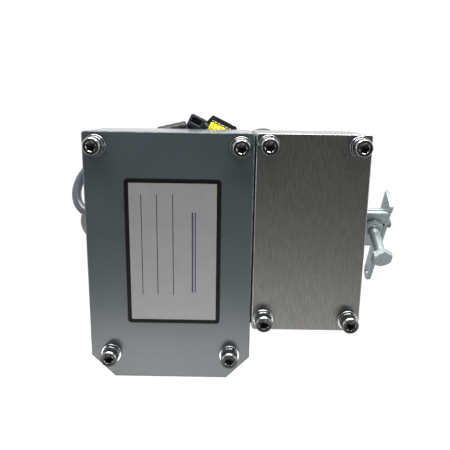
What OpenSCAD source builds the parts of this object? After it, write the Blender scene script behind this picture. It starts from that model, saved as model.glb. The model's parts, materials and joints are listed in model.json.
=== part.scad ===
// Electric engine governor actuator: painted motor housing, cast gear housing, output lever and cable.
// It lies on its mounting face. +X runs along the output shaft, +Y to the top edge, +Z to the covers.
// The origin is on the mounting face, level with the left lug and midway across the two covers.

/* [Housing] */
// Depth from the mounting face to the motor cover's face
total_d = 98; // [96:1:110]
// Depth of the painted motor box with its cover
motor_box_d = 65; // [63:1:68]
// Width of the motor box
motor_box_w = 126; // [124:1:140]
// Height of the motor box
motor_box_h = 195; // [190:1:210]
// Leg of the chamfers on the motor box's lower corners
motor_chamfer = 18.3; // [14:0.1:20]
// Wall of the motor box
motor_wall = 4.5; // [4:0.1:5]
// Width of the gear box
gear_box_w = 84; // [83:1:95]
// Height of the gear box
gear_box_h = 152; // [150:1:160]
// Wall of the gear box
gear_wall = 6; // [5.5:0.1:6.5]
// Wall at the foot of the gear casting
foot_wall = 4; // [3.5:0.1:4.5]
// Floor of the gear casting
floor_t = 5; // [4:0.1:5.5]
// Distance from the lug line up to the top edge
top_y = 86; // [85:0.5:88]
// Thickness of the gasket between the two boxes
joint_gap = 1; // [0.8:0.1:1.5]
// Corner radius of boxes and covers
corner_r = 2.5; // [1.5:0.1:4]

/* [Casting foot] */
// Step in of the foot below the top edge
foot_step_top = 8; // [6:0.5:10]
// Step in of the foot above the bottom edge
foot_step_bottom = 4; // [3:0.1:4]
// Step in of the foot from the right side
foot_step_side = 3; // [1:0.1:3]
// Height of the wing behind the motor box
wing_h = 104; // [90:1:108]
// Step in of the wing from the motor box's left side
wing_step = 6; // [5:0.5:8]
// Radius of the mounting lugs
lug_r = 19.3; // [17:0.1:20]
// Thickness of the mounting lugs
lug_t = 16; // [12:0.5:16]
// Reach of the left lug's centre beyond the motor box
lug_reach = 9.1; // [8:0.1:12]
// Height of the upper and lower lugs above and below the lug line
lug_rise = 67.4; // [66:0.1:68]
// Place of the upper and lower lugs to the right of the origin
lug_x = 32.2; // [31:0.1:40]
// Radius of the tapped mounting holes
lug_hole_r = 4.25; // [3.3:0.05:5.1]

/* [Covers] */
// Thickness of the motor cover
motor_cover_t = 5; // [4:0.1:6]
// Thickness of the gear cover
gear_cover_t = 5.5; // [4.5:0.1:6]
// Thickness of the cover gaskets
gasket_t = 0.8; // [0.5:0.1:1]
// Width of the nameplate
plate_w = 72; // [60:1:80]
// Height of the nameplate
plate_h = 114; // [90:1:120]
// Thickness of the nameplate
plate_t = 0.5; // [0.3:0.1:0.8]
// Place of the nameplate's left edge from the motor box's left side
plate_inset_x = 30; // [25:1:34]
// Place of the nameplate's top edge below the top edge
plate_inset_y = 34; // [28:1:40]

/* [Cover screws] */
// Shank radius of the cover screws
screw_r = 4; // [3:0.5:4]
// Radius of the screw heads
screw_head_r = 6.5; // [5.5:0.1:7]
// Height of the screw heads
screw_head_h = 8; // [6:0.5:9]
// Length of the cover screws below the head
screw_l = 25; // [20:1:30]
// Width across flats of the hexagon socket
socket_af = 6; // [5:0.5:6]
// Radius of the flat washers
washer_r = 8; // [7:0.1:8.5]
// Thickness of the flat washers
washer_t = 1.6; // [1:0.1:2]
// Radius of the spring washers
spring_washer_r = 6.9; // [6.2:0.1:7.4]
// Thickness of the spring washers
spring_washer_t = 2; // [1.6:0.1:2.4]
// Inset of the motor cover's upper screws from the side
m_screw_side = 9.9; // [9:0.1:11]
// Inset of the motor cover's upper screws from the top
m_screw_top = 10.5; // [9:0.1:12]
// Inset of the motor cover's lower screws from the side
m_screw_low_side = 16; // [14:0.1:18]
// Inset of the motor cover's lower screws from the bottom
m_screw_low = 20.5; // [18:0.1:22]
// Inset of the gear cover's screws from the side
g_screw_side = 9; // [9:0.1:10]
// Inset of the gear cover's screws from the top and bottom
g_screw_end = 9; // [9:0.1:10]

/* [Gear train] */
// Module of the first gear pair
mod_1 = 1; // [0.95:0.01:1]
// Teeth of the motor pinion
z_motor = 14;
// Teeth of the intermediate wheel
z_wheel = 54;
// Module of the second gear pair
mod_2 = 1.25; // [1.2:0.01:1.25]
// Teeth of the intermediate pinion
z_pinion = 15;
// Teeth of the full circle that the output sector is cut from
z_sector = 50;
// Backlash of each gear pair at the pitch line
backlash = 0.16; // [0.1:0.01:0.25]
// Face width of the first pair
face_1 = 8; // [6:0.5:9]
// Face width of the second pair
face_2 = 12; // [10:0.5:14]
// Slope of the line from the output shaft to the intermediate shaft
inter_tilt = 17.2; // [16:0.1:18]
// Slope of the line from the intermediate shaft to the motor shaft
motor_tilt = 54; // [52:0.5:56]
// Travel of the output shaft in degrees
travel = 42; // [30:1:42]

/* [Output shaft] */
// Radius of the shaft in its small bearing
journal_r = 6; // [5:0.1:6]
// Radius of the shaft in its large bearing
shaft_r = 8.5; // [8:0.1:9]
// Radius of the shaft in the hub
hub_bore_r = 5.5; // [5:0.1:6.5]
// Radius of the shaft's threaded end
shaft_end_r = 3.5; // [3:0.1:4]
// Length of the shaft beyond the lever
shaft_end_l = 9.7; // [7:0.1:12]

/* [Lever] */
// Thickness of the lever's sheet
bar_t = 3; // [2.5:0.1:3.5]
// Width of the lever bar
bar_w = 16.5; // [15:0.1:18]
// Place of the bar's centre line in front of the shaft axis
bar_shift = 8.25; // [7.5:0.05:9]
// Radius of the eye round the shaft
eye_r = 8.5; // [7:0.5:10]
// Distance from the shaft to the lever's link hole
lever_l = 50; // [46:1:56]
// Radius of the link hole
link_hole_r = 4; // [3:0.1:4.5]
// Reach of the bar's square end above the shaft
bar_tail = 33.9; // [30:0.1:36]
// Slope of the lever at rest, backwards from straight down
lever_tilt = 30; // [28:0.5:34]
// Width of the bent tab and the clamp hub along the shaft
hub_w = 19.8; // [18:0.1:22]
// Reach of the tab and the clamp leaf above the shaft
tab_up = 21; // [20:0.1:23]
// Reach of the tab below the shaft
tab_down = 18.5; // [16:0.1:20]
// Reach of the tab's bend down to the shaft's level
bend_low = 8; // [7:0.1:9]
// Reach of the hub's block above the shaft
block_up = 10; // [9:0.1:11]
// Reach of the hub's block below the shaft
block_down = 12; // [10:0.1:14]
// Radius of the hub round the shaft
hub_r = 8.4; // [8:0.1:9]
// Thickness of the clamp leaf behind the tab
leaf_t = 3; // [2.5:0.1:3.5]
// Gap that the clamp bolt draws together
leaf_gap = 0.5; // [0.4:0.1:0.8]
// Width of the slits in the lever and the hub
slit_w = 2; // [1:0.1:2.5]

/* [Clamp bolt] */
// Shank radius of the clamp bolt
bolt_r = 4; // [3:0.5:4]
// Width across flats of the bolt's head and nut
bolt_af = 13; // [10:0.5:13]
// Length of the bolt below its head
bolt_l = 40; // [36:1:42]
// Height of the bolt's head
bolt_head_h = 5.3; // [4:0.1:6]
// Height of the lock nut
nut_h = 6.5; // [5:0.1:7]
// Distance from the shaft axis to the underside of the bolt's head
bolt_reach = 47.3; // [44:0.1:48]
// Distance from the shaft axis up to the bolt's axis
bolt_rise = 12.4; // [12:0.1:13.5]
// Place of the bolt along the hub, from the hub's inner face
bolt_inset = 11.3; // [9:0.1:12]

/* [Motor] */
// Radius of the motor's yoke
yoke_r = 25; // [23:0.5:25]
// Wall of the yoke
yoke_t = 3; // [2:0.1:3.5]
// Length of the yoke
yoke_l = 76; // [70:1:80]
// Thickness of the end bells
bell_t = 10; // [9:0.5:11]
// Thickness of the magnets
magnet_t = 3.5; // [3:0.1:4]
// Air gap between magnets and rotor
air_gap = 1; // [0.5:0.1:1.2]
// Length of the rotor core
core_l = 48; // [40:1:50]
// Slots in the rotor core
core_slots = 12;
// Radius of the motor shaft
motor_shaft_r = 4; // [3:0.1:4]
// Radius of the commutator
commutator_r = 9; // [8:0.1:10]

/* [Cable] */
// Diameter of the cable
cable_d = 8.7;
// Width across flats of the gland's hexagon
gland_af = 14.4; // [13:0.1:15]
// Length of the gland outside the casting
gland_l = 18; // [16:0.5:18]
// Length of the plug's rear body
plug_rear_l = 14; // [13:0.5:15]
// Width of the plug's rear body
plug_w = 16.5; // [14:0.5:18]
// Thickness of the plug's bodies, standing on the table
plug_t = 18; // [16:0.5:18]
// Radius of the yellow plug seal
seal_r = 8.6; // [8:0.1:8.8]
// Length of the yellow plug seal
seal_l = 18; // [14:0.5:20]
// Length of the plug's latch arm
latch_l = 26; // [22:0.5:27]

/* [Hidden] */
$fn = 48;

// One overrun serves every cut.
over = 0.5;
// Radial clearance of turned pieces that stay put, and of those that run.
seat_gap = 0.02;
run_gap = 0.05;
tiny_gap = 0.3;

// Outline of the two boxes.
left_x = -(motor_box_w + joint_gap + gear_box_w) / 2;
motor_right_x = left_x + motor_box_w;
gear_left_x = motor_right_x + joint_gap;
gear_right_x = gear_left_x + gear_box_w;
motor_bottom_y = top_y - motor_box_h;
gear_bottom_y = top_y - gear_box_h;
motor_rear_z = total_d - motor_box_d;
rim_z = total_d - motor_cover_t - gasket_t;
cover_z = total_d - motor_cover_t;
gear_face_z = cover_z + gear_cover_t;
foot_top_y = top_y - foot_step_top;
foot_bottom_y = gear_bottom_y + foot_step_bottom;
foot_right_x = gear_right_x - foot_step_side;
wing_left_x = left_x + wing_step;
lug_left_x = left_x - lug_reach;
stack_h = washer_t + spring_washer_t;
boss_r = screw_r + gear_wall * 0.75;
boss_base = 4;
hole_gap = 0.4;
joining_z_low = motor_rear_z + motor_box_d * 0.2;
joining_z_high = motor_rear_z + motor_box_d * 0.72;
joining_y_high = top_y - gear_box_h * 0.2;
joining_y_low = gear_bottom_y + gear_box_h * 0.14;

// Gear centres, in the plane across the shafts.
out_y = top_y - gear_box_h / 2;
out_z = total_d / 2;
centre_1 = mod_1 * (z_motor + z_wheel) / 2;
centre_2 = mod_2 * (z_pinion + z_sector) / 2;
inter_y = out_y - centre_2 * cos(inter_tilt);
inter_z = out_z - centre_2 * sin(inter_tilt);
motor_y = inter_y + centre_1 * cos(motor_tilt);
motor_z = inter_z + centre_1 * sin(motor_tilt);
out_to_inter = 180 + inter_tilt;
addendum = 0.9;
dedendum = 1.2;
pressure = 20;
flank_steps = 3;
margin_teeth = 2;
sector_teeth = ceil(travel * z_sector / 360) + 2 * margin_teeth + 1;
tooth_pitch = 360 / z_sector;
sector_start = -(margin_teeth + 0.5) * tooth_pitch;
sector_end = (sector_teeth - margin_teeth - 0.5) * tooth_pitch;

// Places along the shafts.
inner_left_x = gear_left_x + gear_wall;
inner_right_x = gear_right_x - gear_wall;
small_bearing_w = 6;
small_bearing_r = journal_r + 6;
small_boss_t = 2;
small_seat_x = inner_left_x + small_boss_t - small_bearing_w;
large_bearing_w = 10;
large_bearing_r = shaft_r + 9;
large_boss_wall = 4;
large_boss_x = inner_right_x - gear_wall - 1;
large_seat_x = large_boss_x + 1;
wheel_x = inner_left_x + 3.5;
sector_x = wheel_x + face_1 + 11;
flange_t = 2.5;
flange_r = large_bearing_r + 10.5;
flange_screw_r = 2;
flange_screw_head_r = 3.6;
flange_screw_ring = large_bearing_r + 6;
flange_screw_l = gear_wall - 0.6;
hub_x = gear_right_x + flange_t + 0.5;
bar_x = hub_x + hub_w;
shaft_tip_x = bar_x + bar_t + shaft_end_l;
bar_front = bar_shift + bar_w / 2;
leaf_front = bar_front - bar_t;
stop_r = 4;
stop_ring = large_bearing_r + 9.5;
stop_slack = 0.6;
stop_half = asin(stop_r / stop_ring) + stop_slack;
magnet_disc_r = 14;
magnet_disc_w = 6;
magnet_disc_x = sector_x + face_2 + 8;
sensor_x = magnet_disc_x + magnet_disc_w + 6;
board_t = 1.6;
sensor_post_r = 3;
sensor_post_ring = large_bearing_r + 8.5;
sensor_post_tilt = 20;
inter_seat_right_x = inner_right_x - 4;

// Motor places.
bell_x = motor_right_x - motor_wall;
yoke_x = bell_x - bell_t - yoke_l;
rear_bell_x = yoke_x - bell_t;
motor_bearing_r = motor_shaft_r + 7;
motor_bearing_w = 7;
pilot_r = 9;
core_r = yoke_r - yoke_t - magnet_t - air_gap;
core_x = yoke_x + 14;
magnet_span = 130;
commutator_l = 8;
commutator_x = core_x - commutator_l - 2;
holder_t = 3;
brush_w = 5;
guide_wall = 1.5;
motor_screw_ring = yoke_r - 5;
motor_screw_r = 2;
motor_screw_head_r = 3.4;
motor_screw_head_h = 3;
motor_screw_angles_share = [0.125, 0.305, 0.485];
drive_tip = 3;

// Driver board places.
board_left_x = left_x + motor_wall + 16;
board_right_x = motor_right_x - motor_wall - 21;
board_top_y = top_y - motor_wall - 5.5;
board_bottom_y = motor_y + yoke_r + 9.8;
board_post_h = 7.5;
board_post_r = 4;
board_inset = 6;
board_z = motor_rear_z + motor_wall + board_post_h;
board_screw_r = 1.5;
board_screw_head_r = 2.8;
board_screw_head_h = 2;

// Cable and plug places.
gland_y = 10;
gland_z = lug_t + gland_af / 2 + 1.5;
gland_bore_r = cable_d / 2 + run_gap;
gland_thread_r = 5.6;
gland_hex_l = 6;
gland_exit_x = wing_left_x - gland_l;
cable_sides = 10;
// Points of the cable's centre line, from the gland to the sleeve.
cable_route = [[-117.5, 10, 24.7], [-124, 10.6, 24.2], [-129.8, 13.4, 22.6], [-134, 18.4, 20],
    [-136, 25, 16.8], [-135.8, 32, 13.2], [-133.2, 39.5, 9.6], [-128.4, 46.6, 6.8], [-121.8, 53.4, 5.2],
    [-114, 59.6, 4.5], [-105, 65.6, 4.4], [-95, 71, 4.4], [-84, 75.4, 4.5], [-73, 78.6, 5.2],
    [-62, 81.2, 6.6]];
cable_end_dir = [25, 5.4, 1.6];
sleeve_l = 26;
sleeve_r_start = 5.3;
sleeve_r_end = 5.8;
plug_x = -33.9;
plug_y = 93.5;
plug_turn = -25.5;
plug_side = 6.3;
plug_neck_l = 4.5;
plug_core_r = 6;
plug_tip_l = 6;
latch_t = 3.6;
latch_w = 9;
latch_gap = 0.7;
rib_count = 5;

function radians(a) = a * PI / 180;
function degrees(a) = a * 180 / PI;
function involute(r, base) = r <= base ? 0 : degrees(sqrt(pow(r / base, 2) - 1)) - acos(base / r);
function half_tooth(r, base, pitch_r, teeth) =
    90 / teeth - degrees(backlash / 4 / pitch_r) + involute(pitch_r, base) - involute(max(r, base), base);
function polar(r, a) = [r * cos(a), r * sin(a)];
function tooth_points(teeth, m, centre) =
    let (pitch_r = teeth * m / 2, base = pitch_r * cos(pressure),
        tip = pitch_r + addendum * m, root = pitch_r - dedendum * m, low = max(base, root))
    concat(
        [polar(root, centre - half_tooth(low, base, pitch_r, teeth))],
        [for (k = [0 : flank_steps]) let (r = low + (tip - low) * k / flank_steps)
            polar(r, centre - half_tooth(r, base, pitch_r, teeth))],
        [for (k = [flank_steps : -1 : 0]) let (r = low + (tip - low) * k / flank_steps)
            polar(r, centre + half_tooth(r, base, pitch_r, teeth))],
        [polar(root, centre + half_tooth(low, base, pitch_r, teeth))]);
function gear_points(teeth, m, turn) =
    [for (i = [0 : teeth - 1]) each tooth_points(teeth, m, turn + i * 360 / teeth)];

// Places a flat drawing of the plane across the shafts, with its thickness along +X.
module across(x) {
    translate([x, 0, 0]) rotate([90, 0, 90]) children();
}

// A cylinder along +X about an axis at y, z.
module bar_x_axis(x, y, z, r, l) {
    translate([x, y, z]) rotate([0, 90, 0]) cylinder(h = l, r = r);
}

// A turned ring along +X, with a shallow groove between its races where it is a bearing.
module ball_bearing(x, y, z, inner_r, outer_r, w) {
    race = (outer_r - inner_r) * 0.28;
    dish = w * 0.08;
    translate([x, y, z]) rotate([0, 90, 0]) rotate_extrude() polygon([
        [inner_r, 0], [inner_r + race, 0], [inner_r + race, dish], [outer_r - race, dish],
        [outer_r - race, 0], [outer_r, 0], [outer_r, w], [outer_r - race, w],
        [outer_r - race, w - dish], [inner_r + race, w - dish], [inner_r + race, w], [inner_r, w]]);
}

module rounded_box_2d(x, y, w, h, r) {
    union() {
        translate([x + r, y]) square([w - 2 * r, h]);
        translate([x, y + r]) square([w, h - 2 * r]);
        for (i = [0, 1], j = [0, 1])
            translate([x + r + i * (w - 2 * r), y + r + j * (h - 2 * r)]) circle(r = r);
    }
}

// Motor box outline, stepped in by s.
module motor_outline_2d(s) {
    leg = motor_chamfer - s * (2 - sqrt(2));
    r = max(corner_r - s / 2, corner_r / 4);
    w = motor_box_w - 2 * s;
    h = motor_box_h - 2 * s;
    translate([left_x + s, motor_bottom_y + s]) union() {
        polygon([[leg, 0], [w - leg, 0], [w, leg], [w, h - r], [w - r, h], [r, h], [0, h - r], [0, leg]]);
        for (x = [r, w - r]) translate([x, h - r]) circle(r = r);
    }
}

module gear_outline_2d(s) {
    rounded_box_2d(gear_left_x + s, gear_bottom_y + s, gear_box_w - 2 * s, gear_box_h - 2 * s,
        max(corner_r - s / 2, corner_r / 4));
}

module at_motor_screws() {
    for (x = [left_x + m_screw_side, motor_right_x - m_screw_side])
        translate([x, top_y - m_screw_top, 0]) children();
    for (x = [left_x + m_screw_low_side, motor_right_x - m_screw_low_side])
        translate([x, motor_bottom_y + m_screw_low, 0]) children();
}

module at_gear_screws() {
    for (x = [gear_left_x + g_screw_side, gear_right_x - g_screw_side])
        for (y = [gear_bottom_y + g_screw_end, top_y - g_screw_end])
            translate([x, y, 0]) children();
}

module at_joining_screws() {
    for (y = [joining_y_low, joining_y_high], z = [joining_z_low, joining_z_high])
        translate([0, y, z]) rotate([0, 90, 0]) children();
}

module at_motor_bell_screws() {
    for (share = motor_screw_angles_share)
        translate([0, motor_y + motor_screw_ring * cos(share * 360), motor_z + motor_screw_ring * sin(share * 360)])
            rotate([0, 90, 0]) children();
}

module at_flange_screws() {
    for (a = [45 : 90 : 315])
        translate([0, out_y + flange_screw_ring * cos(a), out_z + flange_screw_ring * sin(a)])
            rotate([0, 90, 0]) children();
}

module cap_screw(l) {
    chamfer = screw_head_h * 0.09;
    difference() {
        union() {
            translate([0, 0, -l]) cylinder(h = l, r = screw_r - seat_gap);
            rotate_extrude() polygon([[0, 0], [screw_head_r, 0], [screw_head_r, screw_head_h - chamfer],
                [screw_head_r - chamfer, screw_head_h], [0, screw_head_h]]);
        }
        translate([0, 0, screw_head_h / 2]) cylinder(h = screw_head_h / 2 + over, r = socket_af / sqrt(3), $fn = 6);
    }
}

module ring(outer_r, inner_r, h) {
    difference() {
        cylinder(h = h, r = outer_r);
        translate([0, 0, -over]) cylinder(h = h + 2 * over, r = inner_r);
    }
}

module split_ring(outer_r, inner_r, h) {
    difference() {
        ring(outer_r, inner_r, h);
        rotate(30) translate([inner_r / 2, -h / 4, -over]) cube([outer_r, h / 2, h + 2 * over]);
    }
}

module gear_housing() {
    wing_y = wing_h / 2;
    color([0.72, 0.73, 0.73]) difference() {
        union() {
            translate([0, 0, motor_rear_z]) linear_extrude(rim_z - motor_rear_z) gear_outline_2d(0);
            linear_extrude(motor_rear_z) {
                rounded_box_2d(gear_left_x, foot_bottom_y, foot_right_x - gear_left_x,
                    foot_top_y - foot_bottom_y, corner_r);
                rounded_box_2d(wing_left_x, -wing_y, gear_left_x + corner_r * 2 - wing_left_x, wing_h, corner_r);
            }
            linear_extrude(lug_t) {
                translate([lug_left_x, 0]) circle(r = lug_r);
                translate([lug_left_x, -lug_r]) square([wing_left_x + corner_r - lug_left_x, 2 * lug_r]);
                for (s = [-1, 1]) translate([lug_x, s * lug_rise]) circle(r = lug_r);
            }
        }
        difference() {
            union() {
                translate([0, 0, motor_rear_z]) linear_extrude(rim_z - motor_rear_z + over) gear_outline_2d(gear_wall);
                translate([0, 0, floor_t]) linear_extrude(motor_rear_z - floor_t + over)
                    translate([inner_left_x, foot_bottom_y + foot_wall])
                        square([foot_right_x - foot_wall - inner_left_x, foot_top_y - foot_bottom_y - 2 * foot_wall]);
            }
            at_gear_screws() translate([0, 0, rim_z - screw_l - boss_base]) cylinder(h = rim_z, r = boss_r);
            for (s = [-1, 1]) translate([lug_x, s * lug_rise]) cylinder(h = lug_t + floor_t, r = lug_hole_r * 2);
            bar_x_axis(gear_left_x, out_y, out_z, small_bearing_r + 3, inner_left_x + small_boss_t - gear_left_x);
            bar_x_axis(gear_left_x, inter_y, inter_z, small_bearing_r + 3, inner_left_x + small_boss_t - gear_left_x);
            bar_x_axis(large_boss_x, out_y, out_z, large_bearing_r + large_boss_wall, gear_wall * 2 + 1);
            bar_x_axis(inter_seat_right_x, inter_y, inter_z, small_bearing_r + 3, gear_wall * 2);
        }
        translate([wing_left_x + floor_t, -wing_y + floor_t, floor_t])
            cube([gear_left_x - wing_left_x - floor_t - gear_wall, wing_h - 2 * floor_t, motor_rear_z - floor_t + over]);
        translate([lug_left_x, 0, -over]) cylinder(h = lug_t + 2 * over, r = lug_hole_r);
        for (s = [-1, 1]) translate([lug_x, s * lug_rise, -over]) cylinder(h = lug_t + over, r = lug_hole_r);
        at_gear_screws() translate([0, 0, rim_z - screw_l]) cylinder(h = screw_l + over, r = screw_r);
        bar_x_axis(small_seat_x, out_y, out_z, small_bearing_r + seat_gap, small_bearing_w + over);
        bar_x_axis(small_seat_x, inter_y, inter_z, small_bearing_r + seat_gap, small_bearing_w + over);
        bar_x_axis(large_seat_x, out_y, out_z, large_bearing_r + seat_gap, gear_wall * 3);
        bar_x_axis(large_boss_x - over, out_y, out_z, large_bearing_r - 2.5, gear_wall * 2);
        bar_x_axis(inter_seat_right_x - over, inter_y, inter_z, small_bearing_r + seat_gap, small_bearing_w + over);
        bar_x_axis(gear_left_x - over, motor_y, motor_z, pilot_r, gear_wall * 3);
        at_joining_screws() translate([0, 0, gear_left_x - over]) cylinder(h = gear_wall + 2 * over, r = flange_screw_r * 1.5);
        at_motor_bell_screws() translate([0, 0, gear_left_x - over]) cylinder(h = gear_wall + 2 * over, r = motor_screw_r + hole_gap);
        at_flange_screws() translate([0, 0, gear_right_x - flange_screw_l]) cylinder(h = flange_screw_l + over, r = flange_screw_r);
        bar_x_axis(wing_left_x - over, gland_y, gland_z, gland_thread_r, floor_t + 2 * over);
    }
}

module motor_housing() {
    color([0.4, 0.45, 0.47]) difference() {
        translate([0, 0, motor_rear_z]) linear_extrude(rim_z - motor_rear_z) motor_outline_2d(0);
        difference() {
            translate([0, 0, motor_rear_z + motor_wall]) linear_extrude(rim_z) motor_outline_2d(motor_wall);
            at_motor_screws() translate([0, 0, motor_rear_z]) cylinder(h = rim_z, r = boss_r);
            for (x = [board_left_x + board_inset, board_right_x - board_inset])
                for (y = [board_bottom_y + board_inset, board_top_y - board_inset])
                    translate([x, y, motor_rear_z]) cylinder(h = motor_wall + board_post_h, r = board_post_r);
        }
        at_motor_screws() translate([0, 0, rim_z - screw_l]) cylinder(h = screw_l + over, r = screw_r);
        bar_x_axis(bell_x - over, motor_y, motor_z, pilot_r, motor_wall + 2 * over);
        at_joining_screws() translate([0, 0, bell_x - over]) cylinder(h = motor_wall + 2 * over, r = flange_screw_r * 1.5 + hole_gap);
        at_motor_bell_screws() translate([0, 0, bell_x - over]) cylinder(h = motor_wall + 2 * over, r = motor_screw_r + hole_gap);
        for (x = [board_left_x + board_inset, board_right_x - board_inset])
            for (y = [board_bottom_y + board_inset, board_top_y - board_inset])
                translate([x, y, board_z - board_post_h + over]) cylinder(h = board_post_h, r = board_screw_r);
    }
}

module joint_gasket() {
    color([0.12, 0.12, 0.12]) difference() {
        translate([motor_right_x, gear_bottom_y + corner_r, motor_rear_z])
            cube([joint_gap, gear_box_h - 2 * corner_r, rim_z - motor_rear_z]);
        bar_x_axis(motor_right_x - over, motor_y, motor_z, pilot_r, joint_gap + 2 * over);
        at_joining_screws() translate([0, 0, motor_right_x - over]) cylinder(h = joint_gap + 2 * over, r = flange_screw_r * 1.5 + hole_gap);
        at_motor_bell_screws() translate([0, 0, motor_right_x - over]) cylinder(h = joint_gap + 2 * over, r = motor_screw_r + hole_gap);
    }
}

module joining_screws() {
    r = flange_screw_r * 1.5;
    color([0.6, 0.6, 0.62]) at_joining_screws() {
        translate([0, 0, bell_x]) cylinder(h = motor_wall + joint_gap + gear_wall, r = r - seat_gap);
        difference() {
            translate([0, 0, bell_x - 2 * r]) cylinder(h = 2 * r, r = r * 5 / 3);
            translate([0, 0, bell_x - 2 * r - over]) cylinder(h = r + over, r = r * 0.96, $fn = 6);
        }
    }
}

module motor_cover() {
    color([0.42, 0.47, 0.49]) difference() {
        translate([0, 0, cover_z]) linear_extrude(motor_cover_t) motor_outline_2d(0);
        at_motor_screws() translate([0, 0, cover_z - over]) cylinder(h = motor_cover_t + 2 * over, r = screw_r + hole_gap);
    }
}

module motor_cover_gasket() {
    color([0.15, 0.15, 0.15]) difference() {
        translate([0, 0, rim_z]) linear_extrude(gasket_t) motor_outline_2d(0);
        difference() {
            translate([0, 0, rim_z - over]) linear_extrude(gasket_t + 2 * over) motor_outline_2d(motor_wall);
            at_motor_screws() translate([0, 0, rim_z - over]) cylinder(h = gasket_t + 2 * over, r = boss_r);
        }
        at_motor_screws() translate([0, 0, rim_z - over]) cylinder(h = gasket_t + 2 * over, r = screw_r + hole_gap);
    }
}

module gear_cover() {
    color([0.5, 0.5, 0.49]) difference() {
        translate([0, 0, cover_z]) linear_extrude(gear_cover_t) gear_outline_2d(0);
        at_gear_screws() translate([0, 0, cover_z - over]) cylinder(h = gear_cover_t + 2 * over, r = screw_r + hole_gap);
    }
}

module gear_cover_gasket() {
    color([0.15, 0.15, 0.15]) difference() {
        translate([0, 0, rim_z]) linear_extrude(gasket_t) gear_outline_2d(0);
        difference() {
            translate([0, 0, rim_z - over]) linear_extrude(gasket_t + 2 * over) gear_outline_2d(gear_wall);
            at_gear_screws() translate([0, 0, rim_z - over]) cylinder(h = gasket_t + 2 * over, r = boss_r);
        }
        at_gear_screws() translate([0, 0, rim_z - over]) cylinder(h = gasket_t + 2 * over, r = screw_r + hole_gap);
    }
}

module motor_cover_screws() {
    color([0.75, 0.76, 0.77]) at_motor_screws() translate([0, 0, total_d + stack_h]) cap_screw(screw_l);
}

module motor_cover_spring_washers() {
    color([0.7, 0.7, 0.7]) at_motor_screws() translate([0, 0, total_d + washer_t])
        split_ring(spring_washer_r, screw_r + seat_gap, spring_washer_t);
}

module motor_cover_washers() {
    color([0.78, 0.78, 0.78]) at_motor_screws() translate([0, 0, total_d]) ring(washer_r, screw_r + hole_gap, washer_t);
}

module gear_cover_screws() {
    color([0.75, 0.76, 0.77]) at_gear_screws() translate([0, 0, gear_face_z + stack_h]) cap_screw(screw_l);
}

module gear_cover_spring_washers() {
    color([0.7, 0.7, 0.7]) at_gear_screws() translate([0, 0, gear_face_z + washer_t])
        split_ring(spring_washer_r, screw_r + seat_gap, spring_washer_t);
}

module gear_cover_washers() {
    color([0.78, 0.78, 0.78]) at_gear_screws() translate([0, 0, gear_face_z]) ring(washer_r, screw_r + hole_gap, washer_t);
}

module nameplate() {
    color([0.75, 0.75, 0.74]) translate([0, 0, total_d]) linear_extrude(plate_t)
        rounded_box_2d(left_x + plate_inset_x, top_y - plate_inset_y - plate_h, plate_w, plate_h, corner_r);
}

module output_shaft() {
    steps = [[small_seat_x, journal_r - seat_gap], [inner_left_x + small_boss_t + tiny_gap, journal_r + 3],
        [sector_x - 2, journal_r + 4], [sector_x, journal_r + 4 - seat_gap], [sector_x + face_2 + 2, shaft_r - seat_gap],
        [large_seat_x + large_bearing_w, hub_bore_r - seat_gap], [bar_x, shaft_end_r], [shaft_tip_x, 0]];
    color([0.7, 0.7, 0.72]) translate([0, out_y, out_z]) rotate([0, 90, 0]) rotate_extrude() polygon(concat(
        [[0, shaft_tip_x], [0, small_seat_x]],
        [for (i = [0 : len(steps) - 2]) each [[steps[i][1], steps[i][0]], [steps[i][1], steps[i + 1][0]]]]));
}

module sector_gear() {
    root = mod_2 * (z_sector / 2 - dedendum);
    color([0.55, 0.52, 0.45]) difference() {
        across(sector_x) translate([out_y, out_z]) linear_extrude(face_2) union() {
            polygon(concat([[0, 0], polar(root, out_to_inter + sector_start)],
                [for (i = [0 : sector_teeth - 1])
                    each tooth_points(z_sector, mod_2, out_to_inter + (i - margin_teeth) * tooth_pitch)],
                [polar(root, out_to_inter + sector_end)]));
            circle(r = journal_r + 9);
        }
        bar_x_axis(sector_x - over, out_y, out_z, journal_r + 4, face_2 + 2 * over);
    }
}

module sensor_magnet() {
    color([0.35, 0.35, 0.38]) translate([magnet_disc_x, out_y, out_z]) rotate([0, 90, 0])
        ring(magnet_disc_r, shaft_r, magnet_disc_w);
}

module output_bearing_inner() {
    color([0.8, 0.8, 0.82]) ball_bearing(small_seat_x, out_y, out_z, journal_r + seat_gap, small_bearing_r, small_bearing_w);
}

module output_bearing_outer() {
    color([0.8, 0.8, 0.82]) ball_bearing(large_seat_x, out_y, out_z, shaft_r + seat_gap, large_bearing_r, large_bearing_w);
}

module shaft_flange() {
    spigot_x = large_seat_x + large_bearing_w;
    color([0.7, 0.71, 0.71]) difference() {
        union() {
            bar_x_axis(spigot_x, out_y, out_z, large_bearing_r - seat_gap, gear_right_x - spigot_x);
            bar_x_axis(gear_right_x, out_y, out_z, flange_r, flange_t);
        }
        bar_x_axis(spigot_x - over, out_y, out_z, hub_bore_r + 5, gear_wall * 2);
        at_flange_screws() translate([0, 0, gear_right_x - over]) cylinder(h = flange_t + 2 * over, r = flange_screw_r + hole_gap);
        at_flange_screws() translate([0, 0, gear_right_x + flange_t / 4]) cylinder(h = flange_t, r = flange_screw_head_r + seat_gap);
    }
}

module flange_screws() {
    head_x = gear_right_x + flange_t / 4;
    color([0.3, 0.3, 0.32]) at_flange_screws() difference() {
        union() {
            translate([0, 0, gear_right_x - flange_screw_l]) cylinder(h = flange_screw_l + flange_t / 4, r = flange_screw_r - seat_gap);
            translate([0, 0, head_x]) cylinder(h = flange_t * 3 / 4, r = flange_screw_head_r);
        }
        translate([0, 0, head_x + flange_t / 4]) cylinder(h = flange_t, r = flange_screw_r * 0.7, $fn = 6);
    }
}

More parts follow.
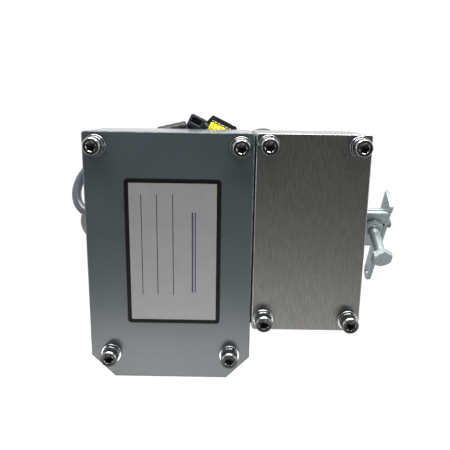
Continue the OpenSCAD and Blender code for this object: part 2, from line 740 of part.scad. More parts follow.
module shaft_seal() {
    seal_x = large_seat_x + large_bearing_w + seat_gap;
    seal_w = gear_right_x + flange_t - seal_x;
    color([0.1, 0.1, 0.1]) translate([seal_x, out_y, out_z]) rotate([0, 90, 0]) rotate_extrude() polygon([
        [hub_bore_r + run_gap, seal_w * 0.35], [hub_bore_r + 1.5, 0], [hub_bore_r + 5 - seat_gap, 0],
        [hub_bore_r + 5 - seat_gap, seal_w], [hub_bore_r + 3, seal_w], [hub_bore_r + run_gap, seal_w * 0.55]]);
}

module stop_pins() {
    first = out_to_inter + sector_start - travel - stop_half;
    second = out_to_inter + sector_end + stop_half;
    color([0.5, 0.5, 0.5]) for (pin = [[first, inner_right_x], [second, foot_right_x - foot_wall]])
        bar_x_axis(sector_x - 2, out_y + stop_ring * cos(pin[0]), out_z + stop_ring * sin(pin[0]),
            stop_r, pin[1] - sector_x + 2);
}

module sensor_board() {
    color([0.1, 0.35, 0.2]) difference() {
        across(sensor_x) linear_extrude(board_t) translate([out_y - magnet_disc_r, out_z - magnet_disc_r])
            square([magnet_disc_r + sensor_post_ring + sensor_post_r, 2 * magnet_disc_r]);
        bar_x_axis(sensor_x - over, out_y, out_z, shaft_r + 1.5, board_t + 2 * over);
    }
}

module sensor_posts() {
    color([0.75, 0.65, 0.35]) for (s = [-1, 1])
        bar_x_axis(sensor_x + board_t, out_y + sensor_post_ring * cos(sensor_post_tilt),
            out_z + s * sensor_post_ring * sin(sensor_post_tilt), sensor_post_r, inner_right_x - sensor_x - board_t);
}

module pinion_shaft() {
    turn = out_to_inter + 180 + 180 / z_pinion;
    small_end_x = inter_seat_right_x + small_bearing_w;
    root = mod_2 * (z_pinion / 2 - dedendum);
    color([0.65, 0.65, 0.67]) union() {
        bar_x_axis(small_seat_x, inter_y, inter_z, journal_r - seat_gap, small_end_x - small_seat_x);
        bar_x_axis(wheel_x - 1, inter_y, inter_z, journal_r + 1, sector_x - wheel_x);
        across(sector_x - 1) translate([inter_y, inter_z]) linear_extrude(face_2 + 2)
            polygon(gear_points(z_pinion, mod_2, turn));
        bar_x_axis(sector_x + face_2 + 1, inter_y, inter_z, root, face_2 / 3);
    }
}

module intermediate_wheel() {
    root = mod_1 * (z_wheel / 2 - dedendum);
    holes = 6;
    color([0.72, 0.6, 0.35]) difference() {
        across(wheel_x) translate([inter_y, inter_z]) linear_extrude(face_1)
            polygon(gear_points(z_wheel, mod_1, motor_tilt));
        bar_x_axis(wheel_x - over, inter_y, inter_z, journal_r + 1 + seat_gap, face_1 + 2 * over);
        for (i = [0 : holes - 1])
            bar_x_axis(wheel_x - over, inter_y + root * 0.62 * cos(i * 360 / holes),
                inter_z + root * 0.62 * sin(i * 360 / holes), root * 0.15, face_1 + 2 * over);
    }
}

module intermediate_bearing_left() {
    color([0.8, 0.8, 0.82]) ball_bearing(small_seat_x, inter_y, inter_z, journal_r + seat_gap, small_bearing_r, small_bearing_w);
}

module intermediate_bearing_right() {
    color([0.8, 0.8, 0.82]) ball_bearing(inter_seat_right_x, inter_y, inter_z, journal_r + seat_gap, small_bearing_r, small_bearing_w);
}

module motor_yoke() {
    color([0.25, 0.26, 0.28]) translate([yoke_x, motor_y, motor_z]) rotate([0, 90, 0]) ring(yoke_r, yoke_r - yoke_t, yoke_l);
}

module motor_magnets() {
    outer = yoke_r - yoke_t - seat_gap;
    color([0.2, 0.2, 0.22]) for (s = [0, 180])
        translate([core_x - 2, motor_y, motor_z]) rotate([0, 90, 0]) rotate(s - magnet_span / 2)
            rotate_extrude(angle = magnet_span) translate([outer - magnet_t, 0]) square([magnet_t, core_l + 4]);
}

module motor_front_bell() {
    color([0.62, 0.63, 0.64]) difference() {
        bar_x_axis(bell_x - bell_t, motor_y, motor_z, yoke_r, bell_t);
        bar_x_axis(bell_x - bell_t - over, motor_y, motor_z, motor_bearing_r - 3, bell_t + 2 * over);
        bar_x_axis(bell_x - motor_bearing_w - 1, motor_y, motor_z, motor_bearing_r + seat_gap, bell_t);
        at_motor_bell_screws() translate([0, 0, bell_x - bell_t * 0.8]) cylinder(h = bell_t, r = motor_screw_r);
    }
}

module motor_rear_bell() {
    color([0.62, 0.63, 0.64]) difference() {
        bar_x_axis(rear_bell_x, motor_y, motor_z, yoke_r, bell_t);
        bar_x_axis(rear_bell_x + bell_t - motor_bearing_w - 1, motor_y, motor_z, motor_bearing_r + seat_gap, bell_t);
    }
}

module motor_bearing_front() {
    color([0.8, 0.8, 0.82]) ball_bearing(bell_x - motor_bearing_w - 1, motor_y, motor_z,
        motor_shaft_r + seat_gap, motor_bearing_r, motor_bearing_w);
}

module motor_bearing_rear() {
    color([0.8, 0.8, 0.82]) ball_bearing(rear_bell_x + bell_t - motor_bearing_w - 1, motor_y, motor_z,
        motor_shaft_r + seat_gap, motor_bearing_r, motor_bearing_w);
}

module motor_shaft() {
    start_x = rear_bell_x + bell_t - motor_bearing_w - 1 + tiny_gap;
    color([0.7, 0.7, 0.72]) bar_x_axis(start_x, motor_y, motor_z, motor_shaft_r - seat_gap,
        wheel_x + face_1 + drive_tip - start_x);
}

module rotor_core() {
    slot = core_r * 0.16;
    color([0.45, 0.45, 0.48]) difference() {
        bar_x_axis(core_x, motor_y, motor_z, core_r, core_l);
        bar_x_axis(core_x - over, motor_y, motor_z, motor_shaft_r, core_l + 2 * over);
        for (i = [0 : core_slots - 1])
            translate([core_x - over, motor_y, motor_z]) rotate([i * 360 / core_slots, 0, 0])
                translate([0, core_r * 0.6, -slot / 2]) cube([core_l + 2 * over, core_r, slot]);
    }
}

module commutator() {
    color([0.72, 0.45, 0.28]) translate([commutator_x, motor_y, motor_z]) rotate([0, 90, 0])
        ring(commutator_r, motor_shaft_r, commutator_l);
}

module brush_holder() {
    inner = commutator_r + 1;
    outer = yoke_r - yoke_t - seat_gap;
    guide_l = commutator_x + commutator_l - yoke_x - holder_t;
    color([0.3, 0.25, 0.2]) difference() {
        union() {
            translate([yoke_x, motor_y, motor_z]) rotate([0, 90, 0]) ring(outer, inner, holder_t);
            for (s = [-1, 1]) translate([yoke_x, motor_y + s * (inner + outer) / 2, motor_z])
                translate([0, -(outer - inner) / 2 + 1, -brush_w / 2 - guide_wall])
                    cube([holder_t + guide_l, outer - inner - 3, brush_w + 2 * guide_wall]);
        }
        for (s = [-1, 1]) translate([commutator_x, motor_y + s * outer / 2, motor_z])
            translate([0, -outer / 2 - over, -brush_w / 2 - seat_gap])
                cube([commutator_l + over, outer + 2 * over, brush_w + 2 * seat_gap]);
    }
}

module brushes() {
    reach = yoke_r - yoke_t - commutator_r - 3;
    color([0.15, 0.15, 0.15]) for (s = [-1, 1])
        translate([commutator_x, motor_y + s * (commutator_r + run_gap + reach / 2), motor_z])
            translate([0, -reach / 2, -brush_w / 2]) cube([commutator_l - 1, reach, brush_w]);
}

module motor_pinion() {
    turn = motor_tilt + 180 + 180 / z_motor;
    color([0.7, 0.7, 0.72]) difference() {
        across(wheel_x - 1) translate([motor_y, motor_z]) linear_extrude(face_1 + 2)
            polygon(gear_points(z_motor, mod_1, turn));
        bar_x_axis(wheel_x - 1 - over, motor_y, motor_z, motor_shaft_r, face_1 + 2 + 2 * over);
    }
}

module motor_screws() {
    color([0.6, 0.6, 0.62]) at_motor_bell_screws() difference() {
        union() {
            translate([0, 0, bell_x - bell_t * 0.7]) cylinder(h = inner_left_x - bell_x + bell_t * 0.7, r = motor_screw_r - seat_gap);
            translate([0, 0, inner_left_x]) cylinder(h = motor_screw_head_h, r = motor_screw_head_r);
        }
        translate([0, 0, inner_left_x + motor_screw_head_h / 2]) cylinder(h = motor_screw_head_h, r = motor_screw_r * 0.8, $fn = 6);
    }
}

module driver_board() {
    color([0.1, 0.35, 0.2]) difference() {
        translate([board_left_x, board_bottom_y, board_z])
            cube([board_right_x - board_left_x, board_top_y - board_bottom_y, board_t]);
        for (x = [board_left_x + board_inset, board_right_x - board_inset])
            for (y = [board_bottom_y + board_inset, board_top_y - board_inset])
                translate([x, y, board_z - over]) cylinder(h = board_t + 2 * over, r = board_screw_r + hole_gap);
    }
}

module board_screws() {
    color([0.7, 0.7, 0.72])
        for (x = [board_left_x + board_inset, board_right_x - board_inset])
            for (y = [board_bottom_y + board_inset, board_top_y - board_inset])
                translate([x, y, board_z + board_t]) {
                    cylinder(h = board_screw_head_h, r = board_screw_head_r);
                    translate([0, 0, -board_post_h + over]) cylinder(h = board_post_h - over, r = board_screw_r - seat_gap);
                }
}

module board_capacitors() {
    can_r = (board_top_y - board_bottom_y) * 0.16;
    color([0.15, 0.17, 0.25]) for (share = [0.34, 0.66])
        translate([board_left_x + (board_right_x - board_left_x) * share,
            board_bottom_y + (board_top_y - board_bottom_y) * 0.6, board_z + board_t]) cylinder(h = can_r * 3, r = can_r);
}

module board_terminal() {
    color([0.15, 0.4, 0.25]) translate([board_left_x + (board_right_x - board_left_x) * 0.3,
        board_bottom_y + 1, board_z + board_t]) cube([(board_right_x - board_left_x) * 0.4, 10, 12]);
}

// The lever's own plane: the first axis points down the bar, the second to its rear.
module lever_plane(x) {
    across(x) translate([out_y, out_z]) rotate(180 + lever_tilt) children();
}

module lever_bar() {
    color([0.72, 0.76, 0.76]) difference() {
        union() {
            lever_plane(bar_x) linear_extrude(bar_t) union() {
                translate([-bar_tail, -bar_front]) square([bar_tail + lever_l, bar_w]);
                translate([lever_l, -bar_shift]) circle(r = bar_w / 2);
                circle(r = eye_r);
            }
            lever_plane(hub_x) linear_extrude(hub_w + bar_t)
                translate([-tab_up, -bar_front]) square([tab_up - bend_low, bar_t]);
            lever_plane(hub_x) linear_extrude(hub_w - slit_w)
                translate([-tab_up, -bar_front]) square([tab_up + tab_down, bar_t]);
        }
        lever_plane(bar_x - over) linear_extrude(bar_t + 2 * over) circle(r = shaft_end_r + seat_gap);
        lever_plane(bar_x - over) linear_extrude(bar_t + 2 * over) translate([lever_l, -bar_shift]) circle(r = link_hole_r);
        bolt_line() translate([0, 0, leaf_front - over]) cylinder(h = bar_t + 2 * over, r = bolt_r + run_gap);
    }
}

module clamp_hub() {
    color([0.6, 0.6, 0.58]) difference() {
        lever_plane(hub_x) linear_extrude(hub_w) difference() {
            union() {
                translate([-tab_up, -leaf_front]) square([tab_up, leaf_t]);
                translate([-block_up, -leaf_front]) square([block_up + block_down, leaf_front]);
                circle(r = hub_r);
            }
            circle(r = hub_bore_r);
            translate([-2 * slit_w, -leaf_front - over]) square([slit_w, leaf_front + over]);
            translate([-tab_up - over, -leaf_front - over]) square([tab_up + over - slit_w, leaf_gap + over]);
        }
        bolt_line() cylinder(h = leaf_front + over, r = bolt_r + run_gap);
    }
}

// The clamp bolt's own line: its axis points out of the hub's front face.
module bolt_line() {
    lever_plane(hub_x + bolt_inset) translate([-bolt_rise, 0, 0]) rotate([90, 0, 0]) children();
}

module clamp_bolt() {
    color([0.7, 0.74, 0.74]) bolt_line() {
        translate([0, 0, bolt_reach - bolt_l]) cylinder(h = bolt_l, r = bolt_r);
        translate([0, 0, bolt_reach]) cylinder(h = bolt_head_h, r = bolt_af / sqrt(3), $fn = 6);
    }
}

module clamp_nut() {
    color([0.68, 0.72, 0.72]) bolt_line() translate([0, 0, bar_front]) difference() {
        cylinder(h = nut_h, r = bolt_af / sqrt(3), $fn = 6);
        translate([0, 0, -over]) cylinder(h = nut_h + 2 * over, r = bolt_r + run_gap);
    }
}

module cable_gland() {
    color([0.2, 0.2, 0.21]) difference() {
        union() {
            bar_x_axis(wing_left_x - over, gland_y, gland_z, gland_thread_r - seat_gap, floor_t + over);
            translate([wing_left_x - gland_hex_l, gland_y, gland_z]) rotate([0, 90, 0]) rotate(30)
                cylinder(h = gland_hex_l, r = gland_af / sqrt(3), $fn = 6);
            translate([gland_exit_x, gland_y, gland_z]) rotate([0, 90, 0])
                cylinder(h = gland_l - gland_hex_l, r1 = cable_d / 2 + 1.2, r2 = gland_af / 2 - 0.4);
        }
        bar_x_axis(gland_exit_x + over, gland_y, gland_z, gland_bore_r, gland_l + floor_t);
    }
}

function unit(v) = v / norm(v);
function route_dir(i) = i == 0 ? [-1, 0, 0] :
    i == len(cable_route) - 1 ? unit(cable_end_dir) : unit(cable_route[i + 1] - cable_route[i - 1]);
function ring_points(i) =
    let (t = route_dir(i), a = unit(cross([0, 0, 1], t)), b = cross(t, a))
    [for (k = [0 : cable_sides - 1]) cable_route[i]
        + cable_d / 2 * (cos(k * 360 / cable_sides) * a + sin(k * 360 / cable_sides) * b)];

module cable() {
    last = len(cable_route) - 1;
    wall = [for (i = [0 : last - 1], k = [0 : cable_sides - 1], half = [0, 1])
        let (p = i * cable_sides + k, q = i * cable_sides + (k + 1) % cable_sides)
        half == 0 ? [p, p + cable_sides, q] : [q, p + cable_sides, q + cable_sides]];
    start = [for (k = [0 : cable_sides - 1]) k];
    finish = [for (k = [cable_sides - 1 : -1 : 0]) last * cable_sides + k];
    color([0.35, 0.35, 0.4]) polyhedron(
        points = [for (i = [0 : last]) each ring_points(i)], faces = concat(wall, [start, finish]));
}

module cable_sleeve() {
    d = unit(cable_end_dir);
    color([0.08, 0.08, 0.08]) translate(cable_route[len(cable_route) - 1])
        rotate([0, acos(d[2]), atan2(d[1], d[0])]) cylinder(h = sleeve_l, r1 = sleeve_r_start, r2 = sleeve_r_end);
}

module plug_line(s, side) {
    translate([plug_x, plug_y, plug_t / 2]) rotate([0, 0, plug_turn]) translate([s, side, 0]) children();
}

module plug_rear() {
    window = plug_w * 0.2;
    color([0.08, 0.08, 0.08]) plug_line(0, 0) difference() {
        union() {
            translate([0, plug_side - plug_w, -plug_t / 2]) cube([plug_rear_l, plug_w, plug_t]);
            rotate([0, 90, 0]) cylinder(h = plug_rear_l + plug_neck_l, r = plug_core_r);
        }
        translate([plug_rear_l * 0.2, plug_side - 2 * window, plug_t / 2 - window])
            cube([plug_rear_l * 0.6, window, window + over]);
    }
}

module plug_seal() {
    pitch = seal_l / rib_count;
    color([0.95, 0.85, 0.1]) plug_line(plug_rear_l + plug_neck_l, 0) rotate([0, 90, 0]) rotate_extrude() polygon(concat(
        [[plug_core_r + seat_gap, seal_l], [plug_core_r + seat_gap, 0]],
        [for (i = [0 : rib_count - 1]) each [[seal_r - 1, i * pitch], [seal_r, (i + 0.3) * pitch],
            [seal_r, (i + 0.7) * pitch], [seal_r - 1, (i + 1) * pitch]]]));
}

module plug_front() {
    front = plug_rear_l + plug_neck_l;
    color([0.08, 0.08, 0.08]) plug_line(front, 0) rotate([0, 90, 0]) {
        cylinder(h = seal_l + plug_tip_l, r = plug_core_r);
        translate([0, 0, seal_l]) cylinder(h = plug_tip_l, r = seal_r - 0.4);
    }
}

module plug_latch() {
    front = plug_rear_l + plug_neck_l;
    low = seal_r + latch_gap;
    high = low + latch_t;
    color([0.1, 0.1, 0.1]) plug_line(front, 0) translate([0, 0, -latch_w / 2]) linear_extrude(latch_w) polygon([
        [-plug_neck_l + tiny_gap, plug_core_r * 0.7], [-plug_neck_l * 0.25, high], [latch_l - latch_t, high],
        [latch_l, low], [tiny_gap, low], [-tiny_gap, plug_core_r * 0.7]]);
}

gear_housing();
motor_housing();
joint_gasket();
joining_screws();
motor_cover();
motor_cover_gasket();
motor_cover_screws();
motor_cover_spring_washers();
motor_cover_washers();
nameplate();
gear_cover();
gear_cover_gasket();
gear_cover_screws();
gear_cover_spring_washers();
gear_cover_washers();
output_shaft();
sector_gear();
sensor_magnet();
output_bearing_inner();
output_bearing_outer();
shaft_flange();
flange_screws();
shaft_seal();
stop_pins();
sensor_board();
sensor_posts();
pinion_shaft();
intermediate_wheel();
intermediate_bearing_left();
intermediate_bearing_right();
motor_yoke();
motor_magnets();
motor_front_bell();
motor_rear_bell();
motor_bearing_front();
motor_bearing_rear();
motor_shaft();
rotor_core();
commutator();
brush_holder();
brushes();
motor_pinion();
motor_screws();
driver_board();
board_screws();
board_capacitors();
board_terminal();
lever_bar();
clamp_hub();
clamp_bolt();
clamp_nut();
cable_gland();
cable();
cable_sleeve();
plug_rear();
plug_seal();
plug_front();
plug_latch();
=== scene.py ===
import json
import math

import bmesh
import bpy
from mathutils import Matrix, Vector


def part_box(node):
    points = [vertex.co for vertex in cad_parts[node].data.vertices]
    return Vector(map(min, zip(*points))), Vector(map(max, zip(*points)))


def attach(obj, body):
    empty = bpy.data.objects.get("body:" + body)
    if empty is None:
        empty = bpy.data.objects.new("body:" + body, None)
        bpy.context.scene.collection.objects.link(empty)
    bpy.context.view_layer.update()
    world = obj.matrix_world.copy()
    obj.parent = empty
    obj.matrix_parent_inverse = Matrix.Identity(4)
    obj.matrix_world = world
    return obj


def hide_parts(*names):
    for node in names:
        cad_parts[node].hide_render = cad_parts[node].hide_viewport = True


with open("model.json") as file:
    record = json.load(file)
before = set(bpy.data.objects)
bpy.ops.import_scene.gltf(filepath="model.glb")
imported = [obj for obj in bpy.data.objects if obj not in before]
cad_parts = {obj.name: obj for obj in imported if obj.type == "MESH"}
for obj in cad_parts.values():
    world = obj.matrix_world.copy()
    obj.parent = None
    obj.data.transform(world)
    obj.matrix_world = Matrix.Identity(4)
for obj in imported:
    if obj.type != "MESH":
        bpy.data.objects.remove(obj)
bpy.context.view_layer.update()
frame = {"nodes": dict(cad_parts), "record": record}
cadNodes = frame["nodes"]
record = frame["record"]
bodyOf = {node: body for body, members in record["behaviour"]["bodies"].items() for node in members}
collection = bpy.context.scene.collection
mm = 0.001
print("frame loaded")


# links and values go by an input's name, or by its number where a node has two of one name
def addNode(tree, kind, links=None, values=None, **settings):
    node = tree.nodes.new(kind)
    for name, value in settings.items():
        setattr(node, name, value)
    for name, value in (values or {}).items():
        node.inputs[name].default_value = value
    for name, source in (links or {}).items():
        tree.links.new(source, node.inputs[name])
    return node


def hexColour(code):
    channels = [int(code[i : i + 2], 16) / 255 for i in (1, 3, 5)]
    linear = [c / 12.92 if c <= 0.04045 else ((c + 0.055) / 1.055) ** 2.4 for c in channels]
    return (*linear, 1.0)


# camera, as fitted to the photograph: place in millimetres, turn in radians
cameraSettings = {"place": (0.7, 100.6, 454.7), "turn": (-0.228, 0.003, 0.016), "lens": 39.03, "nearest": 10}


def makeCamera(settings):
    data = bpy.data.cameras.new("camera")
    data.lens = settings["lens"]
    data.clip_start = settings["nearest"] * mm
    camera = bpy.data.objects.new("camera", data)
    camera.location = Vector(settings["place"]) * mm
    camera.rotation_mode = "ZYX"
    camera.rotation_euler = settings["turn"]
    collection.objects.link(camera)
    bpy.context.scene.camera = camera


makeCamera(cameraSettings)


# finishes: every pattern is worked out in millimetres on the object's own coordinates
finishes = {
    # two-pack satin enamel sprayed on cast aluminium: faint orange peel, soft sheen
    "satinEnamel": {"colours": ("#384245", "#3F494C"), "patch": 45, "metallic": 0, "rough": (0.34, 0.44),
                    "grain": 1.4, "depth": 0.02, "coat": 0.8},
    # the same enamel where handling has rubbed it thin along edges
    "rubbedEnamel": {"colours": ("#4C5657", "#7F8887"), "patch": 5, "metallic": 0.1, "rough": (0.28, 0.42),
                     "grain": 1.0, "depth": 0.015},
    # rolled aluminium plate with a long-grain belt finish: dark and bright streaks along the grain
    "brushedPlate": {"colours": ("#646360", "#7C7B78"), "patch": 0.48, "metallic": 1, "rough": (0.36, 0.5),
                     "grain": 0.28, "depth": 0.008, "stretch": (1, 0.055, 1)},
    # the plate's milled rim, left bright: catches the light as one clean line
    "brightEdge": {"colours": ("#B9BBBB", "#D9DBDC"), "patch": 3, "metallic": 1, "rough": (0.24, 0.34),
                   "grain": 0.5, "depth": 0.006},
    # sand-cast aluminium, shot blasted: pale, matte, pitted
    "castAluminium": {"colours": ("#929493", "#9D9F9E"), "patch": 4, "metallic": 0.6, "rough": (0.5, 0.66),
                      "grain": 0.7, "depth": 0.06},
    # cold-headed stainless screws, tumbled bright
    "tumbledStainless": {"colours": ("#96999C", "#BDC0C2"), "patch": 2.2, "metallic": 1, "rough": (0.14, 0.26),
                         "grain": 0.5, "depth": 0.005},
    # painted shade: dark tones laid in a screw's socket, round its rim and round a washer's foot, where shade and
    # contact shadow fall
    "paintedShade": {"colours": ("#22221F", "#45443F"), "patch": 1.2, "metallic": 0.7, "rough": (0.22, 0.4),
                    "grain": 0.4, "depth": 0.02},
    # bright zinc plate with a clear blue passivate, slightly clouded
    "clearZinc": {"colours": ("#9EACAE", "#BEC8C9"), "patch": 1.6, "metallic": 0.78, "rough": (0.28, 0.46),
                  "grain": 0.45, "depth": 0.01},
    # anodised label plate with a fine satin grain
    "labelSilver": {"colours": ("#8E8E8D", "#969595"), "patch": 14, "metallic": 0.35, "rough": (0.4, 0.5),
                    "grain": 0.4, "depth": 0.004},
    # black print on the label: deep and nearly without shine
    "labelBlack": {"colours": ("#070708", "#0E0E10"), "patch": 10, "metallic": 0, "rough": (0.4, 0.5),
                   "grain": 0.6, "depth": 0.004, "specular": 0.15},
    # blue print, a shade lighter than the black
    "labelBlue": {"colours": ("#1B1F55", "#272B60"), "patch": 6, "metallic": 0, "rough": (0.4, 0.5),
                  "grain": 0.6, "depth": 0.003},
    # nitrile-bonded fibre gasket
    "gasketFibre": {"colours": ("#151617", "#242627"), "patch": 2, "metallic": 0, "rough": (0.7, 0.85),
                    "grain": 0.4, "depth": 0.03},
    # extruded PVC cable sheath: smooth, glossy, a little violet
    "sheathPvc": {"colours": ("#4A4D58", "#585B66"), "patch": 12, "metallic": 0, "rough": (0.24, 0.34),
                  "grain": 1.2, "depth": 0.02, "coat": 0.7},
    # shrunk polyolefin sleeve
    "shrinkSleeve": {"colours": ("#1B1C1F", "#292A2D"), "patch": 4, "metallic": 0, "rough": (0.32, 0.46),
                     "grain": 0.9, "depth": 0.04},
    # glass-filled nylon, moulded with a fine spark finish
    "mouldedNylon": {"colours": ("#1C1D20", "#2B2D30"), "patch": 3, "metallic": 0, "rough": (0.42, 0.56),
                     "grain": 0.3, "depth": 0.02},
    # the plug's rear body, the same nylon in dark grey
    "greyNylon": {"colours": ("#2A2D34", "#3A3E47"), "patch": 3, "metallic": 0, "rough": (0.36, 0.5),
                  "grain": 0.3, "depth": 0.02},
    # liquid silicone seal
    "yellowSilicone": {"colours": ("#EBCF04", "#FAE51C"), "patch": 4, "metallic": 0, "rough": (0.34, 0.46),
                       "grain": 0.5, "depth": 0.01},
    # turned bar left untreated, gone dull
    "dullSteel": {"colours": ("#717476", "#8A8C8E"), "patch": 2.5, "metallic": 0.8, "rough": (0.42, 0.58),
                  "grain": 0.5, "depth": 0.015},
    # bearing rings and shaft, ground: bright with a short grain
    "groundSteel": {"colours": ("#9B9DA0", "#B9BBBD"), "patch": 1.2, "metallic": 1, "rough": (0.2, 0.32),
                    "grain": 0.3, "depth": 0.006},
    # hobbed gear steel under an oil film: warm and glossy
    "oiledGearSteel": {"colours": ("#6B6860", "#8D897E"), "patch": 3, "metallic": 1, "rough": (0.24, 0.38),
                       "grain": 0.4, "depth": 0.01},
    # machined brass, not lacquered
    "cutBrass": {"colours": ("#B4923F", "#CFAE5B"), "patch": 3, "metallic": 1, "rough": (0.22, 0.36),
                 "grain": 0.4, "depth": 0.008},
    # black oxide on steel: dark with a soft metal sheen
    "blackedSteel": {"colours": ("#1B1C1E", "#2C2D30"), "patch": 2, "metallic": 0.9, "rough": (0.3, 0.45),
                     "grain": 0.4, "depth": 0.01},
    # sintered ferrite magnet: flat dark grey and dusty
    "ferrite": {"colours": ("#2A2A2C", "#3A3A3C"), "patch": 2, "metallic": 0.1, "rough": (0.6, 0.75),
                "grain": 0.5, "depth": 0.03},
    # copper turned on a lathe: bright rings of tool marks
    "turnedCopper": {"colours": ("#A8663F", "#C98B5F"), "patch": 2, "metallic": 1, "rough": (0.22, 0.35),
                     "grain": 0.3, "depth": 0.008},
    # solder mask on glass-epoxy board: smooth and a little glossy
    "greenLaminate": {"colours": ("#0E3B22", "#17502F"), "patch": 3, "metallic": 0, "rough": (0.3, 0.42),
                      "grain": 0.6, "depth": 0.01},
    # pressed carbon: matte, near black
    "carbonBlock": {"colours": ("#1C1B1B", "#2A2928"), "patch": 1.5, "metallic": 0.1, "rough": (0.55, 0.7),
                    "grain": 0.3, "depth": 0.02},
}


# what every finish shares: its two noises, the part of their range that shows, bump and clear coat
noiseSettings = {"patch": {"Detail": 5, "Roughness": 0.6}, "patchRange": {"From Min": 0.3, "From Max": 0.7},
                 "grain": {"Detail": 3, "Roughness": 0.55}, "grainRange": {"From Min": 0.25, "From Max": 0.75},
                 "bump": 0.5, "coatRoughness": 0.22}


def makeFinish(name, finish, shared):
    material = bpy.data.materials.new(name)
    material.use_nodes = True
    tree = material.node_tree
    shader = tree.nodes["Principled BSDF"]
    shader.inputs["Metallic"].default_value = finish["metallic"]
    if "specular" in finish:
        shader.inputs["Specular IOR Level"].default_value = finish["specular"]
    if "coat" in finish:
        shader.inputs["Coat Weight"].default_value = finish["coat"]
        shader.inputs["Coat Roughness"].default_value = shared["coatRoughness"]
    perMm = tuple(1000 * share for share in finish.get("stretch", (1, 1, 1)))
    place = addNode(tree, "ShaderNodeTexCoord")
    toMm = addNode(tree, "ShaderNodeMapping", {"Vector": place.outputs["Object"]}, {"Scale": perMm})
    patches = addNode(tree, "ShaderNodeTexNoise", {"Vector": toMm.outputs["Vector"]},
                      {"Scale": 1 / finish["patch"], **shared["patch"]})
    grain = addNode(tree, "ShaderNodeTexNoise", {"Vector": toMm.outputs["Vector"]},
                    {"Scale": 1 / finish["grain"], **shared["grain"]})
    spread = addNode(tree, "ShaderNodeMapRange", {"Value": patches.outputs["Fac"]}, shared["patchRange"])
    low, high = (hexColour(code) for code in finish["colours"])
    tone = addNode(tree, "ShaderNodeMix", {"Factor": spread.outputs["Result"]}, {6: low, 7: high}, data_type="RGBA")
    gloss = addNode(tree, "ShaderNodeMapRange", {"Value": grain.outputs["Fac"]},
                    {**shared["grainRange"], "To Min": finish["rough"][0], "To Max": finish["rough"][1]})
    bump = addNode(tree, "ShaderNodeBump", {"Height": grain.outputs["Fac"]},
                   {"Strength": shared["bump"], "Distance": finish["depth"] * mm})
    tree.links.new(tone.outputs[2], shader.inputs["Base Color"])
    tree.links.new(gloss.outputs["Result"], shader.inputs["Roughness"])
    tree.links.new(bump.outputs["Normal"], shader.inputs["Normal"])
    return material


materials = {name: makeFinish(name, finish, noiseSettings) for name, finish in finishes.items()}
print("finishes made:", len(materials))


# mesh helpers, all in millimetres and degrees until a piece is finished
meshSettings = {
    "seam": 0.001, "solidSeam": 0.002,  # points nearer than this are one
    "sameFace": 0.6,  # a solid's facets within this angle become one face
    "softFrom": 28,  # edges flatter than this are never softened
    "flatArea": 60,  # faces larger than this stay truly flat beside their softened edges
    "hexChamfer": 0.577,  # fall of a hexagon's corners, a slope of 30 degrees
}


def loft(bm, loops, finishIndex=0, capStart=True, capEnd=True):
    rings = [[bm.verts.new(point) for point in loop] for loop in loops]
    count = len(rings[0])
    for lower, upper in zip(rings, rings[1:]):
        for k in range(count):
            after = (k + 1) % count
            face = bm.faces.new((lower[k], lower[after], upper[after], upper[k]))
            face.material_index = finishIndex
    if capStart:
        bm.faces.new(rings[0][::-1]).material_index = finishIndex
    if capEnd:
        bm.faces.new(rings[-1]).material_index = finishIndex


def loftRing(bm, loops):
    loft(bm, loops + [loops[0]], capStart=False, capEnd=False)


def closeSeams(bm):
    bmesh.ops.remove_doubles(bm, verts=bm.verts, dist=meshSettings["seam"])


def polar(radius, angle, z):
    return (radius * math.cos(angle), radius * math.sin(angle), z)


def circleLoop(radius, z, count):
    return [polar(radius, 2 * math.pi * k / count, z) for k in range(count)]


def circleLoops(profile, count):
    return [circleLoop(radius, z, count) for radius, z in profile]


def hexRadius(angle, flats):
    sixth = math.pi / 3
    return flats / 2 / math.cos((angle + sixth / 2) % sixth - sixth / 2)


def hexLoop(flats, z, count, dropFrom=None):
    points = []
    for k in range(count):
        angle = 2 * math.pi * k / count
        radius = hexRadius(angle, flats)
        fall = 0 if dropFrom is None else max(0.0, radius - dropFrom) * meshSettings["hexChamfer"]
        points.append(polar(radius, angle, z - fall))
    return points


def joinInto(bm, part):
    mesh = bpy.data.meshes.new("part")
    part.to_mesh(mesh)
    part.free()
    bm.from_mesh(mesh)
    bpy.data.meshes.remove(mesh)


def linkPiece(name, mesh):
    piece = bpy.data.objects.new(name, mesh)
    collection.objects.link(piece)
    return piece


def smoothShade(mesh, smoothAngle):
    mesh.shade_smooth()
    mesh.set_sharp_from_angle(angle=math.radians(smoothAngle))


def toRowFrame(bm, matrix=None):
    if matrix is not None:
        bmesh.ops.transform(bm, matrix=matrix, verts=bm.verts)
    bmesh.ops.scale(bm, vec=(mm, mm, mm), verts=bm.verts)


def finishMesh(name, bm, finishNames, matrix=None, smoothAngle=32):
    toRowFrame(bm, matrix)
    bmesh.ops.recalc_face_normals(bm, faces=bm.faces)
    mesh = bpy.data.meshes.new(name)
    bm.to_mesh(mesh)
    bm.free()
    for finishName in finishNames:
        mesh.materials.append(materials[finishName])
    smoothShade(mesh, smoothAngle)
    for face in mesh.polygons:
        face.use_smooth = face.area < meshSettings["flatArea"] * mm * mm
    return linkPiece(name, mesh)


def standFor(piece, nodeName):
    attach(piece, bodyOf[nodeName])
    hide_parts(nodeName)
    return piece


def boxOf(nodeName):
    low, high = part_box(nodeName)
    return low * 1000, high * 1000


def cadCopy(nodeName):
    bm = bmesh.new()
    bm.from_mesh(cadNodes[nodeName].data)
    bmesh.ops.scale(bm, vec=(1000, 1000, 1000), verts=bm.verts)
    bmesh.ops.remove_doubles(bm, verts=bm.verts, dist=meshSettings["solidSeam"])
    bmesh.ops.dissolve_limit(bm, angle_limit=math.radians(meshSettings["sameFace"]), verts=bm.verts, edges=bm.edges)
    return bm


